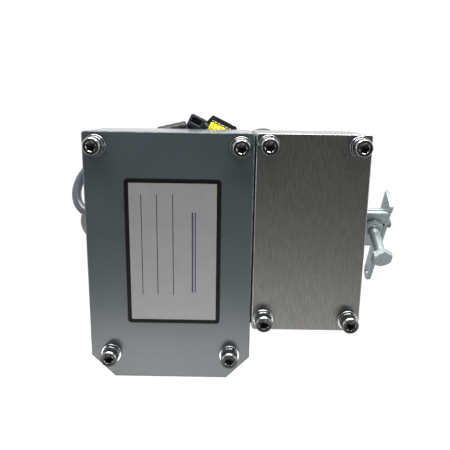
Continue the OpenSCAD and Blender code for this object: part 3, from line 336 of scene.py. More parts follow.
def soften(bm, width, chosen=None, segments=2, finishIndex=-1):
    edges = []
    for edge in bm.edges:
        if not edge.is_manifold or edge.calc_face_angle_signed(0) < math.radians(meshSettings["softFrom"]):
            continue
        if chosen is None or chosen((edge.verts[0].co + edge.verts[1].co) / 2, edge):
            edges.append(edge)
    bmesh.ops.bevel(bm, geom=edges, offset=width, offset_type="OFFSET", segments=segments, profile=0.5,
                    affect="EDGES", clamp_overlap=True, material=finishIndex)


def softCopy(nodeName, name, finishNames, width, chosen=None, segments=2, finishIndex=-1):
    bm = cadCopy(nodeName)
    soften(bm, width, chosen, segments, finishIndex)
    return finishMesh(name, bm, finishNames)


# cable: the route's points are those of the solid, joined by a smooth line with so many steps between two
cableSettings = {
    "diameter": 8.7, "inset": 0.05, "sides": 24, "steps": 4, "smoothAngle": 40,
    "route": ((-117.5, 10, 24.7), (-124, 10.6, 24.2), (-129.8, 13.4, 22.6), (-134, 18.4, 20), (-136, 25, 16.8),
              (-135.8, 32, 13.2), (-133.2, 39.5, 9.6), (-128.4, 46.6, 6.8), (-121.8, 53.4, 5.2), (-114, 59.6, 4.5),
              (-105, 65.6, 4.4), (-95, 71, 4.4), (-84, 75.4, 4.5), (-73, 78.6, 5.2), (-62, 81.2, 6.6)),
}


def smoothRoute(points, steps):
    knots = [Vector(p) for p in points]
    padded = [2 * knots[0] - knots[1]] + knots + [2 * knots[-1] - knots[-2]]
    line = []
    for i in range(1, len(padded) - 2):
        before, start, end, after = padded[i - 1 : i + 3]
        for k in range(steps):
            t = k / steps
            line.append(0.5 * (2 * start + (end - before) * t + (2 * before - 5 * start + 4 * end - after) * t ** 2
                               + (3 * start - before - 3 * end + after) * t ** 3))
    line.append(knots[-1])
    return line


def treeWithInputs(name, sockets):
    tree = bpy.data.node_groups.new(name, "GeometryNodeTree")
    for socketName, kind in sockets:
        tree.interface.new_socket(name=socketName, in_out="INPUT", socket_type="NodeSocket" + kind)
    tree.interface.new_socket(name="Geometry", in_out="OUTPUT", socket_type="NodeSocketGeometry")
    return tree


def realizeAndPaint(tree, geometry, finish):
    plain = addNode(tree, "GeometryNodeRealizeInstances", {"Geometry": geometry})
    return addNode(tree, "GeometryNodeSetMaterial", {"Geometry": plain.outputs["Geometry"], "Material": finish})


def growMesh(name, tree, baseMesh, inputs):
    grower = linkPiece(name + "Grower", baseMesh)
    modifier = grower.modifiers.new("grow", "NODES")
    modifier.node_group = tree
    for item in tree.interface.items_tree:
        if item.in_out == "INPUT" and item.name in inputs:
            modifier[item.identifier] = inputs[item.name]
    grower.update_tag()
    bpy.context.view_layer.update()
    graph = bpy.context.evaluated_depsgraph_get()
    mesh = bpy.data.meshes.new_from_object(grower.evaluated_get(graph), depsgraph=graph)
    grower.modifiers.remove(modifier)
    bpy.data.objects.remove(grower)
    mesh.name = name
    return linkPiece(name, mesh)


def makeSweepTree():
    tree = treeWithInputs("sweepTube", (("Geometry", "Geometry"), ("Radius", "Float"), ("Sides", "Int"),
                                        ("Finish", "Material")))
    given = addNode(tree, "NodeGroupInput")
    line = addNode(tree, "GeometryNodeMeshToCurve", {"Mesh": given.outputs["Geometry"]})
    ring = addNode(tree, "GeometryNodeCurvePrimitiveCircle",
                   {"Radius": given.outputs["Radius"], "Resolution": given.outputs["Sides"]})
    tube = addNode(tree, "GeometryNodeCurveToMesh",
                   {"Curve": line.outputs["Curve"], "Profile Curve": ring.outputs["Curve"]}, {"Fill Caps": True})
    painted = realizeAndPaint(tree, tube.outputs["Mesh"], given.outputs["Finish"])
    addNode(tree, "NodeGroupOutput", {"Geometry": painted.outputs["Geometry"]})
    return tree


def makeCable(settings):
    line = smoothRoute(settings["route"], settings["steps"])
    mesh = bpy.data.meshes.new("cableLine")
    mesh.from_pydata([p * mm for p in line], [(i, i + 1) for i in range(len(line) - 1)], [])
    piece = growMesh("cableSheath", makeSweepTree(), mesh, {
        "Radius": (settings["diameter"] / 2 - settings["inset"]) * mm, "Sides": settings["sides"],
        "Finish": materials["sheathPvc"]})
    smoothShade(piece.data, settings["smoothAngle"])
    length = sum((b - a).length for a, b in zip(line, line[1:])) * mm
    return piece, [p * mm for p in line], length


cable, cableLine, cableLength = makeCable(cableSettings)
print("cable made:", round(cableLength, 4), "m")


# sleeve shrunk over the cable's end: its mouth hugs the sheath, and its wall ripples a little
sleeveSettings = {"way": (25, 5.4, 1.6), "length": 26, "radii": (5.3, 5.8), "mouth": (4.4, 0.1), "inset": 0.15,
                  "endDrop": 0.2, "ripple": 0.14, "ripples": 7, "taper": 0.8, "sides": 32, "sections": 14}


def makeSleeve(settings):
    startRadius, endRadius = settings["radii"]
    way = Vector(settings["way"]).normalized()
    turn = Vector((0, 0, 1)).rotation_difference(way).to_matrix().to_4x4()
    sections = settings["sections"]
    profile = [settings["mouth"]]
    for k in range(sections + 1):
        share = k / sections
        swell = -settings["endDrop"]
        if 0 < k < sections:
            swell = settings["ripple"] * math.sin(share * math.pi * settings["ripples"])
        radius = startRadius + (endRadius - startRadius) * share ** settings["taper"] - settings["inset"] + swell
        profile.append((radius, share * settings["length"]))
    bm = bmesh.new()
    loft(bm, circleLoops(profile, settings["sides"]))
    place = Matrix.Translation(cableSettings["route"][-1]) @ turn
    return finishMesh("shrunkSleeve", bm, ["shrinkSleeve"], place, 50)


# plug: x runs along it from its rear end, y to the latch's side, z to the front
plugSettings = {
    "start": (-33.9, 93.5, 9), "turn": -25.5,
    "rear": (14, 16.5, 18), "side": 6.3,  # length, width and depth; reach to the latch's side
    "bodyRound": 1.4, "clipLow": -5.4, "clipRound": 1.9,
    "window": (2.4, -0.9), "windowInset": 2.6, "windowRound": 0.7,  # the clip frame's dark window
    "ledge": (1.2, -9.6, -6.2), "ledgeRound": 0.8,  # inset, and its two sides
    "neck": 4.5, "core": 6, "tip": 6,
    "seal": (8.6, 18, 5),  # radius, length, ribs
    "crest": 8.55, "valley": 7.6, "sealBore": 6.1,
    "latch": (26, 4.2, 9, 0.1),  # length, thickness, width, gap over the seal
}


def plugMatrix(settings):
    return Matrix.Translation(settings["start"]) @ Matrix.Rotation(math.radians(settings["turn"]), 4, "Z")


def alongX(settings):
    return plugMatrix(settings) @ Matrix.Rotation(math.pi / 2, 4, "Y")


def roundedBoxLoops(low, high, radius, count=6):
    loops = []
    ends = ((radius * 0.7, low[0]), (radius * 0.2, low[0] + radius * 0.25), (0, low[0] + radius),
            (0, high[0] - radius), (radius * 0.2, high[0] - radius * 0.25), (radius * 0.7, high[0]))
    for inset, along in ends:
        loop = []
        for corner in range(4):
            centreY = high[1] - radius if corner in (0, 3) else low[1] + radius
            centreZ = high[2] - radius if corner in (0, 1) else low[2] + radius
            for k in range(count):
                y, z, x = polar(radius - inset, math.pi / 2 * (corner + k / (count - 1)), along)
                loop.append((x, centreY + y, centreZ + z))
        loops.append(loop)
    return loops


def roundedRectangle(low, high, radius, z, count=7):
    points = []
    right, left, upper, lower = high[0] - radius, low[0] + radius, high[1] - radius, low[1] + radius
    for corner, (cx, cy) in enumerate(((right, upper), (left, upper), (left, lower), (right, lower))):
        for k in range(count):
            x, y, height = polar(radius, math.pi / 2 * (corner + k / (count - 1)), z)
            points.append((cx + x, cy + y, height))
    return points


def insetRectangle(corners, inset, radius, z):
    (left, lower), (right, upper) = corners
    return roundedRectangle((left + inset, lower + inset), (right - inset, upper - inset), radius - inset, z)


def makePlugRear(settings):
    length, width, depth = settings["rear"]
    top = settings["side"]
    front = depth / 2
    bm = bmesh.new()
    loft(bm, roundedBoxLoops((0.1, top - width + 0.1, -front), (length - 0.1, top - 0.3, front - 3.6),
                             settings["bodyRound"]))
    outer = ((0, settings["clipLow"]), (length, top))
    inner = (settings["window"], (length - settings["windowInset"], top - settings["windowInset"]))
    frameLoops = [insetRectangle(outer, inset, settings["clipRound"], front - fall)
                  for inset, fall in ((0, 5), (0, 1.1), (0.3, 0.4), (1.0, 0))]
    frameLoops += [insetRectangle(inner, inset, settings["windowRound"], front - fall)
                   for inset, fall in ((-0.5, 0), (-0.1, 0.3), (0, 0.8), (0, 5))]
    loftRing(bm, frameLoops)
    inset, ledgeLow, ledgeHigh = settings["ledge"]
    loft(bm, roundedBoxLoops((inset, ledgeLow, front - 4), (length - inset, ledgeHigh, front - 1.4),
                             settings["ledgeRound"]))
    closeSeams(bm)
    neck = bmesh.new()
    end = length + settings["neck"]
    loft(neck, circleLoops(((4.6, length - 0.5), (5.9, length - 0.1), (5.9, end - 1.4), (5.2, end - 1.2),
                            (5.2, end)), 28))
    bmesh.ops.transform(neck, matrix=Matrix.Rotation(math.pi / 2, 4, "Y"), verts=neck.verts)
    joinInto(bm, neck)
    return finishMesh("plugRear", bm, ["greyNylon"], plugMatrix(settings))


def makePlugFront(settings):
    start = settings["rear"][0] + settings["neck"]
    radius, length = settings["seal"][:2]
    core, end = settings["core"], length + settings["tip"]
    bm = bmesh.new()
    loft(bm, circleLoops(((core - 0.3, 0.2), (core - 0.1, length), (radius - 1.2, length + 0.1),
                          (radius - 0.5, length + 0.8), (radius - 0.5, end - 0.8), (radius - 1.3, end),
                          (radius - 2.4, end), (radius - 2.6, end - 2.4)), 40))
    return finishMesh("plugFront", bm, ["mouldedNylon"], alongX(settings) @ Matrix.Translation((0, 0, start)))


def makePlugLatch(settings):
    length, thick, width, gap = settings["latch"]
    front = settings["rear"][0] + settings["neck"]
    low = settings["seal"][0] + gap
    high = low + thick
    root = settings["core"] * 0.7
    side = [(-settings["neck"] + 0.4, root), (-1.5, high - 0.7), (-0.6, high - 0.1), (length * 0.66, high - 0.1),
            (length * 0.7, high - 0.5), (length - 6.6, high - 0.5), (length - 5.9, high - 0.1),
            (length - thick, high - 0.1), (length - 0.1, low + 0.1), (0.6, low + 0.1), (0.1, low - 0.9),
            (-0.3, root)]
    bm = bmesh.new()
    loft(bm, [[(front + x, y, z) for x, y in side] for z in (-width / 2 + 0.1, width / 2 - 0.1)])
    soften(bm, 0.45)
    return finishMesh("plugLatch", bm, ["mouldedNylon"], plugMatrix(settings))


# one tree places copies of a pattern: cover screws, washers, seal ribs
def makeCopyTree():
    tree = treeWithInputs("placeCopies", (("Geometry", "Geometry"), ("Pattern", "Object"), ("Turn", "Float"),
                                          ("Seed", "Int"), ("Finish", "Material"), ("Inner Finish", "Material")))
    given = addNode(tree, "NodeGroupInput")
    pattern = addNode(tree, "GeometryNodeObjectInfo", {"Object": given.outputs["Pattern"]})
    spin = addNode(tree, "FunctionNodeRandomValue", {"Seed": given.outputs["Seed"]},
                   {0: (0, 0, 0), 1: (0, 0, 2 * math.pi)}, data_type="FLOAT_VECTOR")
    share = addNode(tree, "ShaderNodeVectorMath", {"Vector": spin.outputs[0], "Scale": given.outputs["Turn"]},
                    operation="SCALE")
    copies = addNode(tree, "GeometryNodeInstanceOnPoints",
                     {"Points": given.outputs["Geometry"], "Instance": pattern.outputs["Geometry"],
                      "Rotation": share.outputs["Vector"]})
    outer = realizeAndPaint(tree, copies.outputs["Instances"], given.outputs["Finish"])
    # faces marked recess take the inner finish: painted shade in the screws' sockets and painted contact shadow
    # round the washers' foot
    inside = addNode(tree, "GeometryNodeInputNamedAttribute", values={"Name": "recess"}, data_type="BOOLEAN")
    inner = addNode(tree, "GeometryNodeSetMaterial",
                    {"Geometry": outer.outputs["Geometry"], "Selection": inside.outputs["Attribute"],
                     "Material": given.outputs["Inner Finish"]})
    addNode(tree, "NodeGroupOutput", {"Geometry": inner.outputs["Geometry"]})
    return tree


copyTree = makeCopyTree()


def placeCopies(name, pattern, places, finishName, innerFinish="paintedShade", turn=1.0, seed=3):
    mesh = bpy.data.meshes.new(name + "Places")
    mesh.from_pydata([Vector(p) * mm for p in places], [], [])
    return growMesh(name, copyTree, mesh, {"Pattern": pattern, "Turn": turn, "Seed": seed,
                                           "Finish": materials[finishName], "Inner Finish": materials[innerFinish]})


def patternObject(name, bm, recessFaces=(), smoothAngle=32):
    marks = [face.index in recessFaces for face in bm.faces]
    bmesh.ops.recalc_face_normals(bm, faces=bm.faces)
    toRowFrame(bm)
    mesh = bpy.data.meshes.new(name)
    bm.to_mesh(mesh)
    bm.free()
    smoothShade(mesh, smoothAngle)
    recess = mesh.attributes.new("recess", "BOOLEAN", "FACE")
    recess.data.foreach_set("value", marks)
    return linkPiece(name, mesh)


def makePlugSeal(settings):
    length, ribs = settings["seal"][1:]
    crest, valley, bore = settings["crest"], settings["valley"], settings["sealBore"]
    start = settings["rear"][0] + settings["neck"]
    pitch = length / ribs
    bm = bmesh.new()
    profile = ((valley, -0.5), (valley + 0.5, -0.4), (crest - 0.15, -0.22), (crest, 0), (crest - 0.15, 0.22),
               (valley + 0.5, 0.4), (valley, 0.5), (bore, 0.5), (bore, -0.5))
    loftRing(bm, [circleLoop(r, z * pitch, 40) for r, z in profile])
    closeSeams(bm)
    along = alongX(settings)
    bmesh.ops.transform(bm, matrix=along.to_3x3().to_4x4(), verts=bm.verts)
    pattern = patternObject("sealRib", bm, smoothAngle=50)
    places = [along @ Vector((0, 0, start + pitch * (k + 0.5))) for k in range(ribs)]
    piece = placeCopies("plugSeal", pattern, places, "yellowSilicone", turn=0.0)
    bpy.data.objects.remove(pattern)
    return piece


sleeve = standFor(makeSleeve(sleeveSettings), "cable_sleeve")
plugRear = standFor(makePlugRear(plugSettings), "plug_rear")
plugFront = standFor(makePlugFront(plugSettings), "plug_front")
plugLatch = standFor(makePlugLatch(plugSettings), "plug_latch")
plugSeal = standFor(makePlugSeal(plugSettings), "plug_seal")
standFor(cable, "cable")
print("plug made")


# housings and covers: only the edges that show are softened, with the worn finish on the painted ones
housingSettings = {"softRear": 0.8, "rearBand": 0.5, "leastEdge": 4, "cornerReach": 20, "sideReach": 1}
coverSettings = {
    "motor_cover": {"name": "motorCover", "finishes": ["satinEnamel", "rubbedEnamel"], "soft": 0.9, "reach": 19.5},
    "gear_cover": {"name": "gearCover", "finishes": ["brushedPlate", "brightEdge"], "soft": 0.6, "reach": 4},
}
coverEdge = {"topBand": 0.1, "sideBand": 1.2, "slantFrom": 15}  # an edge longer than slantFrom may cut a corner
castingSettings = {"soft": 1.0, "below": 34, "leastEdge": 1.6, "cavity": ((21, 100), (-57, 57), (4, 34))}


def makeMotorHousing(settings):
    low, high = boxOf("motor_housing")
    def chosen(middle, edge):
        acrossReach = min(abs(middle.x - low.x), abs(middle.x - high.x))
        upReach = min(abs(middle.y - low.y), abs(middle.y - high.y))
        atRear = middle.z < low.z + settings["rearBand"] and edge.calc_length() > settings["leastEdge"]
        return atRear and (acrossReach < settings["cornerReach"] or upReach < settings["sideReach"])
    finishNames = ["satinEnamel", "rubbedEnamel"]
    return softCopy("motor_housing", "motorBox", finishNames, settings["softRear"], chosen, 3, 1)


def makeCover(nodeName, settings, edgeSettings):
    low, high = boxOf(nodeName)
    def chosen(middle, edge):
        nearSide = min(abs(middle.x - low.x), abs(middle.x - high.x), abs(middle.y - low.y), abs(middle.y - high.y))
        slanted = edge.calc_length() > edgeSettings["slantFrom"] and nearSide < settings["reach"]
        return middle.z > high.z - edgeSettings["topBand"] and (nearSide < edgeSettings["sideBand"] or slanted)
    return softCopy(nodeName, settings["name"], settings["finishes"], settings["soft"], chosen, 3, 1)


def makeGearHousing(settings):
    def chosen(middle, edge):
        inCavity = all(low < value < high for value, (low, high) in zip(middle, settings["cavity"]))
        return middle.z < settings["below"] and edge.calc_length() > settings["leastEdge"] and not inCavity
    return softCopy("gear_housing", "gearCasting", ["castAluminium"], settings["soft"], chosen, 3)


standFor(makeMotorHousing(housingSettings), "motor_housing")
for nodeName, settings in coverSettings.items():
    standFor(makeCover(nodeName, settings, coverEdge), nodeName)
standFor(makeGearHousing(castingSettings), "gear_housing")
print("housings made")


# cover screws with their washers: flat ones are outer radius, inner radius and height, split ones too
screwSettings = {"headRadius": 6.5, "headHeight": 8, "socket": 6.6, "socketDepth": 4.2, "knurls": 40,
                 "knurlDepth": 0.28, "shankRadius": 3.98, "shankLength": 25,
                 "washer": (8, 4.4, 1.6), "washerSides": 56, "washerChamfer": 0.25,
                 "spring": (6.9, 4.02, 2.0), "springRise": 0.3, "springRound": 0.15, "springArc": (9, 342),
                 "springSteps": 60, "lowerInset": 14.1}


def makeScrewPattern(settings):
    bm = bmesh.new()
    count = settings["knurls"] * 2
    radius, top = settings["headRadius"], settings["headHeight"]
    shank, end = settings["shankRadius"], -settings["shankLength"]
    socket, floor = settings["socket"], top - settings["socketDepth"]
    def knurled(z):
        return [polar(radius - settings["knurlDepth"] * (k % 2), 2 * math.pi * k / count, z) for k in range(count)]
    loops = circleLoops(((shank - 0.6, end), (shank, end + 0.8), (shank, 0), (radius - 0.35, 0),
                         (radius - 0.1, 0.35)), count)
    loops += [knurled(0.6), knurled(top - 1.3)]
    loops += circleLoops(((radius - 0.05, top - 0.9), (radius - 0.2, top - 0.6), (radius - 0.85, top),
                          (socket / 2 + 0.75, top), (socket / 2 + 0.5, top - 0.12)), count)
    loft(bm, loops, capEnd=False)
    outside = len(bm.faces)
    well = [loops[-1], hexLoop(socket, top - 0.5, count), hexLoop(socket, floor, count),
            circleLoop(0.4, floor - 0.9, count)]
    loft(bm, well, capStart=False)
    closeSeams(bm)
    bm.faces.index_update()
    rim = range((len(loops) - 3) * count, (len(loops) - 1) * count)
    floorFaces = range(outside + 2 * count, len(bm.faces))
    return patternObject("screwPattern", bm, {*rim, *floorFaces}, 30)  # painted shade darkens the socket's rim and floor


def makeWasherPattern(settings):
    outer, inner, height = settings["washer"]
    sides, chamfer = settings["washerSides"], settings["washerChamfer"]
    bm = bmesh.new()
    loftRing(bm, circleLoops(((inner, 0), (outer - chamfer, 0), (outer, chamfer), (outer, height - chamfer),
                              (outer - chamfer, height), (inner + 0.2, height), (inner, height - 0.2)), sides))
    closeSeams(bm)
    return patternObject("washerPattern", bm, set(range(sides, sides * 3)))  # painted contact shadow darkens the washer's foot and outer wall


def makeSpringPattern(settings):
    outer, inner, height = settings["spring"]
    rise, edge, steps = settings["springRise"], settings["springRound"], settings["springSteps"]
    first, turned = (math.radians(angle) for angle in settings["springArc"])
    thick = height - rise
    loops = []
    for k in range(steps + 1):
        share = k / steps
        z = rise * share
        section = ((inner, z + edge), (inner + edge, z), (outer - edge, z), (outer, z + edge),
                   (outer, z + thick - edge), (outer - edge, z + thick), (inner + edge, z + thick),
                   (inner, z + thick - edge))
        loops.append([polar(r, first + share * turned, h) for r, h in section])
    bm = bmesh.new()
    loft(bm, loops)
    return patternObject("springPattern", bm)


# the flat washers of the solid give the screws' middles and their seat
def screwPlaces(nodeName, settings):
    low, high = boxOf(nodeName)
    reach = settings["washer"][0]
    if nodeName == "gear_cover_washers":
        return [(x, y, low.z) for x in (low.x + reach, high.x - reach) for y in (low.y + reach, high.y - reach)]
    upper = [(x, high.y - reach, low.z) for x in (low.x + reach, high.x - reach)]
    inset = settings["lowerInset"]
    return upper + [(x, low.y + reach, low.z) for x in (low.x + inset, high.x - inset)]


screwPattern = makeScrewPattern(screwSettings)
washerPattern = makeWasherPattern(screwSettings)
springPattern = makeSpringPattern(screwSettings)
washerHeight, springHeight = screwSettings["washer"][2], screwSettings["spring"][2]
stack = (("Washers", "_washers", washerPattern, 0), ("Springs", "_spring_washers", springPattern, washerHeight),
         ("Screws", "_screws", screwPattern, washerHeight + springHeight))
for cover, seed in (("motor_cover", 5), ("gear_cover", 11)):
    places = screwPlaces(cover + "_washers", screwSettings)
    for step, (label, nodeEnd, pattern, lift) in enumerate(stack):
        piece = placeCopies(coverSettings[cover]["name"] + label, pattern, [(x, y, z + lift) for x, y, z in places],
                            "tumbledStainless", seed=seed + step)
        standFor(piece, cover + nodeEnd)
for pattern in (screwPattern, washerPattern, springPattern):
    bpy.data.objects.remove(pattern)
print("cover screws made")


# nameplate: a bare silver field in a black border, with plain rule lines only, each given as its place across
# and its start and end downwards, in shares of the field, and its thickness
plateSettings = {"border": 3.2, "radius": 3.0, "fieldRadius": 0.8, "fieldDepth": 0.06, "edge": (0.12, 0.1),
                 "rules": ((-0.36, 0.08, 0.81, 0.5), (-0.183, 0.08, 0.81, 0.5), (0, 0.08, 0.81, 0.5)),
                 "heading": ((0.224, 0.203, 0.79, 1.1), (0.257, 0.203, 0.79, 0.8)), "ruleDepths": (0.07, 0.02)}


def makeNameplate(settings):
    low, high = boxOf("nameplate")
    top, radius, border = high.z, settings["radius"], settings["border"]
    fieldRadius, fieldHeight = settings["fieldRadius"], high.z - settings["fieldDepth"]
    fall, shave = settings["edge"]
    left, lower, right, upper = low.x + border, low.y + border, high.x - border, high.y - border
    inner = ((left, lower), (right, upper))
    bm = bmesh.new()
    loft(bm, [roundedRectangle(low, high, radius, low.z), roundedRectangle(low, high, radius, top - fall),
              roundedRectangle((low.x + shave, low.y + shave), (high.x - shave, high.y - shave), radius, top),
              roundedRectangle(*inner, fieldRadius, top), roundedRectangle(*inner, fieldRadius, fieldHeight)],
         capEnd=False)
    field = bm.faces.new([bm.verts.new(p) for p in roundedRectangle(*inner, fieldRadius, fieldHeight)])
    field.material_index = 1
    for group, finishIndex in ((settings["rules"], 0), (settings["heading"], 2)):
        for across, start, end, thick in group:
            x = (left + right) / 2 + across * (right - left)
            yTop = upper - start * (upper - lower)
            yBottom = upper - end * (upper - lower)
            first, last = x - thick / 2, x + thick / 2
            loft(bm, [[(first, yBottom, top - depth), (last, yBottom, top - depth), (last, yTop, top - depth),
                       (first, yTop, top - depth)] for depth in settings["ruleDepths"]], finishIndex)
    closeSeams(bm)
    return finishMesh("labelPlate", bm, ["labelBlack", "labelSilver", "labelBlue"])


standFor(makeNameplate(plateSettings), "nameplate")
print("nameplate made")


# lever: its own plane has p down the bar and q to the rear, and x runs along the output shaft
leverSettings = {
    "axis": (10, 49), "tilt": 210,
    "boltX": 118.5, "boltRise": 12.6, "boltTurn": 30, "boltLength": 40, "boltRadius": 4, "plainLength": 22,
    "pitch": 1.25, "thread": 0.35, "flats": 13.8, "headFrom": 49.2, "headHeight": 5.3, "sides": 48,
    "nutFrom": 16.5, "nutHeight": 6.5, "nutGap": 0.06, "chamfer": 0.3, "crown": 0.45,
    "bar": (128.3, 131.3), "front": -16.5, "link": (50, -8.25, 4), "seat": 3.6, "eye": 8.5,  # bar's two faces in x
    "endRound": (51, -9.2, 7.3), "tail": ((-34.5, 2.6), (-32.6, -16)), "holeSteps": 36,
    "tab": (-26.4, 10.5, 108.5, 126.3), "boltGap": 0.3,  # top, bottom, left, right
    "bendEnd": -15, "bendRadius": 1.4, "soft": 0.35, "smoothAngle": 28,
    "leafFrom": -20.5, "leafSoft": 0.4, "shaftCut": 1.2, "shaftSoft": 0.5,
}


def boltMatrix(settings):
    tilt = math.radians(settings["tilt"])
    down = Vector((0, math.cos(tilt), math.sin(tilt)))
    front = Vector((0, math.sin(tilt), -math.cos(tilt)))
    start = Vector((settings["boltX"], *settings["axis"])) - down * settings["boltRise"]
    turn = Matrix((down, front.cross(down), front)).transposed()
    spin = Matrix.Rotation(math.radians(settings["boltTurn"]), 4, "Z")
    return Matrix.Translation(start) @ turn.to_4x4() @ spin


def leverMatrix(settings):
    tilt = math.radians(settings["tilt"])
    down = (0, math.cos(tilt), math.sin(tilt))
    rear = (0, -math.sin(tilt), math.cos(tilt))
    return Matrix.Translation((0, *settings["axis"])) @ Matrix((down, rear, (1, 0, 0))).transposed().to_4x4()


def arc(centre, radius, start, end, count):
    angles = [math.radians(start + (end - start) * k / (count - 1)) for k in range(count)]
    return [(centre[0] + radius * math.cos(a), centre[1] + radius * math.sin(a)) for a in angles]


def hole(centre, radius, steps):
    return arc(centre, radius, 0, 360 * (steps - 1) / steps, steps)


def addSheet(bm, outline, holes, low, high, arrange):
    part = bmesh.new()
    edges = []
    for loop in (outline, *holes):
        verts = [part.verts.new((a, b, low)) for a, b in loop]
        edges += [part.edges.new((verts[k - 1], verts[k])) for k in range(len(verts))]
    bmesh.ops.triangle_fill(part, use_beauty=True, use_dissolve=True, edges=edges)
    grown = bmesh.ops.extrude_face_region(part, geom=part.faces[:])
    lifted = [v for v in grown["geom"] if isinstance(v, bmesh.types.BMVert)]
    bmesh.ops.translate(part, vec=(0, 0, high - low), verts=lifted)
    for vert in part.verts:
        vert.co = arrange(*vert.co)
    bmesh.ops.recalc_face_normals(part, faces=part.faces)
    joinInto(bm, part)


# the bar, its bend and the front tab are one bent sheet
def makeLeverBar(settings):
    low, high = settings["bar"]
    top, bottom, tabLeft, tabRight = settings["tab"]
    bend, front, bendRadius = settings["bendEnd"], settings["front"], settings["bendRadius"]
    back = front + (high - low)
    tailRear, tailFront = settings["tail"]
    steps = settings["holeSteps"]
    bm = bmesh.new()
    outline = [tailRear, tailFront, (tailFront[0] + 0.6, front), (top, front), (top, back + 0.5),
               (bend, back + 0.5), (bend, front)]
    outline += arc(settings["endRound"][:2], settings["endRound"][2], -90, 88, 22)
    outline += arc((0, 0), settings["eye"], 4, 171, 24)
    holes = [hole((0, 0), settings["seat"], steps), hole(settings["link"][:2], settings["link"][2], steps)]
    addSheet(bm, outline, holes, low, high, lambda a, b, h: (a, b, h))
    tab = [(top, tabLeft), (bottom, tabLeft), (bottom, tabRight), (bend, tabRight), (bend, low + 0.05),
           (top, low + 0.05)]
    boltHole = hole((-settings["boltRise"], settings["boltX"]), settings["boltRadius"] + settings["boltGap"], steps)
    addSheet(bm, tab, [boltHole], front, back, lambda a, b, h: (a, h, b))
    curve = arc((front + bendRadius, high - bendRadius), bendRadius, 180, 90, 8)
    corner = [(front, low), *curve, (back + 1, high), (back + 1, low + 0.04), (back, low)]
    addSheet(bm, corner, [], top, bend, lambda a, b, h: (h, a, b))
    def chosen(middle, edge):  # the seams where the three sheets meet inside the bend stay sharp
        if not top - 0.1 < middle.x < bend + 0.1:
            return True
        tabSeam = low - 0.2 < middle.z < low + 0.2 and middle.y < back + 0.1
        barSeam = middle.z > low - 0.1 and back - 0.1 < middle.y < back + 1.1
        return not (tabSeam or barSeam)
    soften(bm, settings["soft"], chosen)
    return finishMesh("leverBar", bm, ["clearZinc"], leverMatrix(settings), settings["smoothAngle"])


def makeClampHub(settings):
    bm = cadCopy("clamp_hub")
    place = leverMatrix(settings)
    back = place.inverted()
    for vert in bm.verts:
        local = back @ vert.co
        if local.x < settings["leafFrom"]:  # the leaf ends level with the tab
            vert.co = place @ Vector((settings["tab"][0], local.y, local.z))
    soften(bm, settings["leafSoft"])
    return finishMesh("clampHub", bm, ["clearZinc"])


def makeOutputShaft(settings):
    bm = cadCopy("output_shaft")
    tip = boxOf("output_shaft")[1].x
    for vert in bm.verts:
        if vert.co.x > tip - 0.5:
            vert.co.x -= settings["shaftCut"]
    soften(bm, settings["shaftSoft"])
    return finishMesh("outputShaft", bm, ["dullSteel"])


def threadLoops(start, end, settings):
    radius, pitch, count = settings["boltRadius"], settings["pitch"], settings["sides"]
    loops = []
    steps = int((end - start) / pitch * 6)
    for k in range(steps + 1):
        z = start + (end - start) * k / steps
        loop = []
        for j in range(count):
            phase = (z / pitch - j / count) % 1
            reach = radius - settings["thread"] * (1 - abs(2 * phase - 1))
            loop.append(polar(reach, 2 * math.pi * j / count, z))
        loops.append(loop)
    return loops


def makeClampBolt(settings):
    radius, flats, count, seat = (settings[key] for key in ("boltRadius", "flats", "sides", "headFrom"))
    foot = flats / 2 - settings["chamfer"]
    tail, shoulder = seat - settings["boltLength"], seat - settings["plainLength"]
    top = seat + settings["headHeight"]
    loops = circleLoops(((radius - 1.2, tail), (radius - 0.35, tail + 0.9)), count)
    loops += threadLoops(tail + 1.0, shoulder, settings)
    loops += circleLoops(((radius, shoulder + 0.6), (radius, seat - 0.3), (radius + 0.3, seat), (foot, seat),
                          (foot, seat + 0.3)), count)
    loops += [hexLoop(flats, seat + 0.3, count), hexLoop(flats, top - 0.15, count, foot),
              circleLoop(flats / 2 - settings["crown"], top, count)]
    bm = bmesh.new()
    loft(bm, loops)
    return finishMesh("clampBolt", bm, ["clearZinc"], boltMatrix(settings), settings["smoothAngle"])


def makeClampNut(settings):
    flats, count, low = settings["flats"], settings["sides"], settings["nutFrom"]
    high = low + settings["nutHeight"]
    bore = settings["boltRadius"] + settings["nutGap"]
    foot, crown = flats / 2 - settings["chamfer"], flats / 2 - settings["crown"]
    lower = [(x, y, 2 * (low + 0.12) - z) for x, y, z in hexLoop(flats, low + 0.12, count, foot)]
    loops = circleLoops(((bore, low + 0.6), (bore + 0.6, low), (crown, low)), count)
    loops += [lower, hexLoop(flats, high - 0.12, count, foot)]
    loops += circleLoops(((crown, high), (bore + 0.6, high), (bore, high - 0.6)), count)
    bm = bmesh.new()
    loftRing(bm, loops)
    closeSeams(bm)
    return finishMesh("lockNut", bm, ["clearZinc"], boltMatrix(settings), settings["smoothAngle"])


standFor(makeClampBolt(leverSettings), "clamp_bolt")
standFor(makeClampNut(leverSettings), "clamp_nut")
standFor(makeLeverBar(leverSettings), "lever_bar")
standFor(makeClampHub(leverSettings), "clamp_hub")
standFor(makeOutputShaft(leverSettings), "output_shaft")
standFor(softCopy("shaft_flange", "shaftFlange", ["castAluminium"], 0.3), "shaft_flange")
standFor(softCopy("cable_gland", "cableGland", ["mouldedNylon"], 0.3), "cable_gland")
print("lever made")


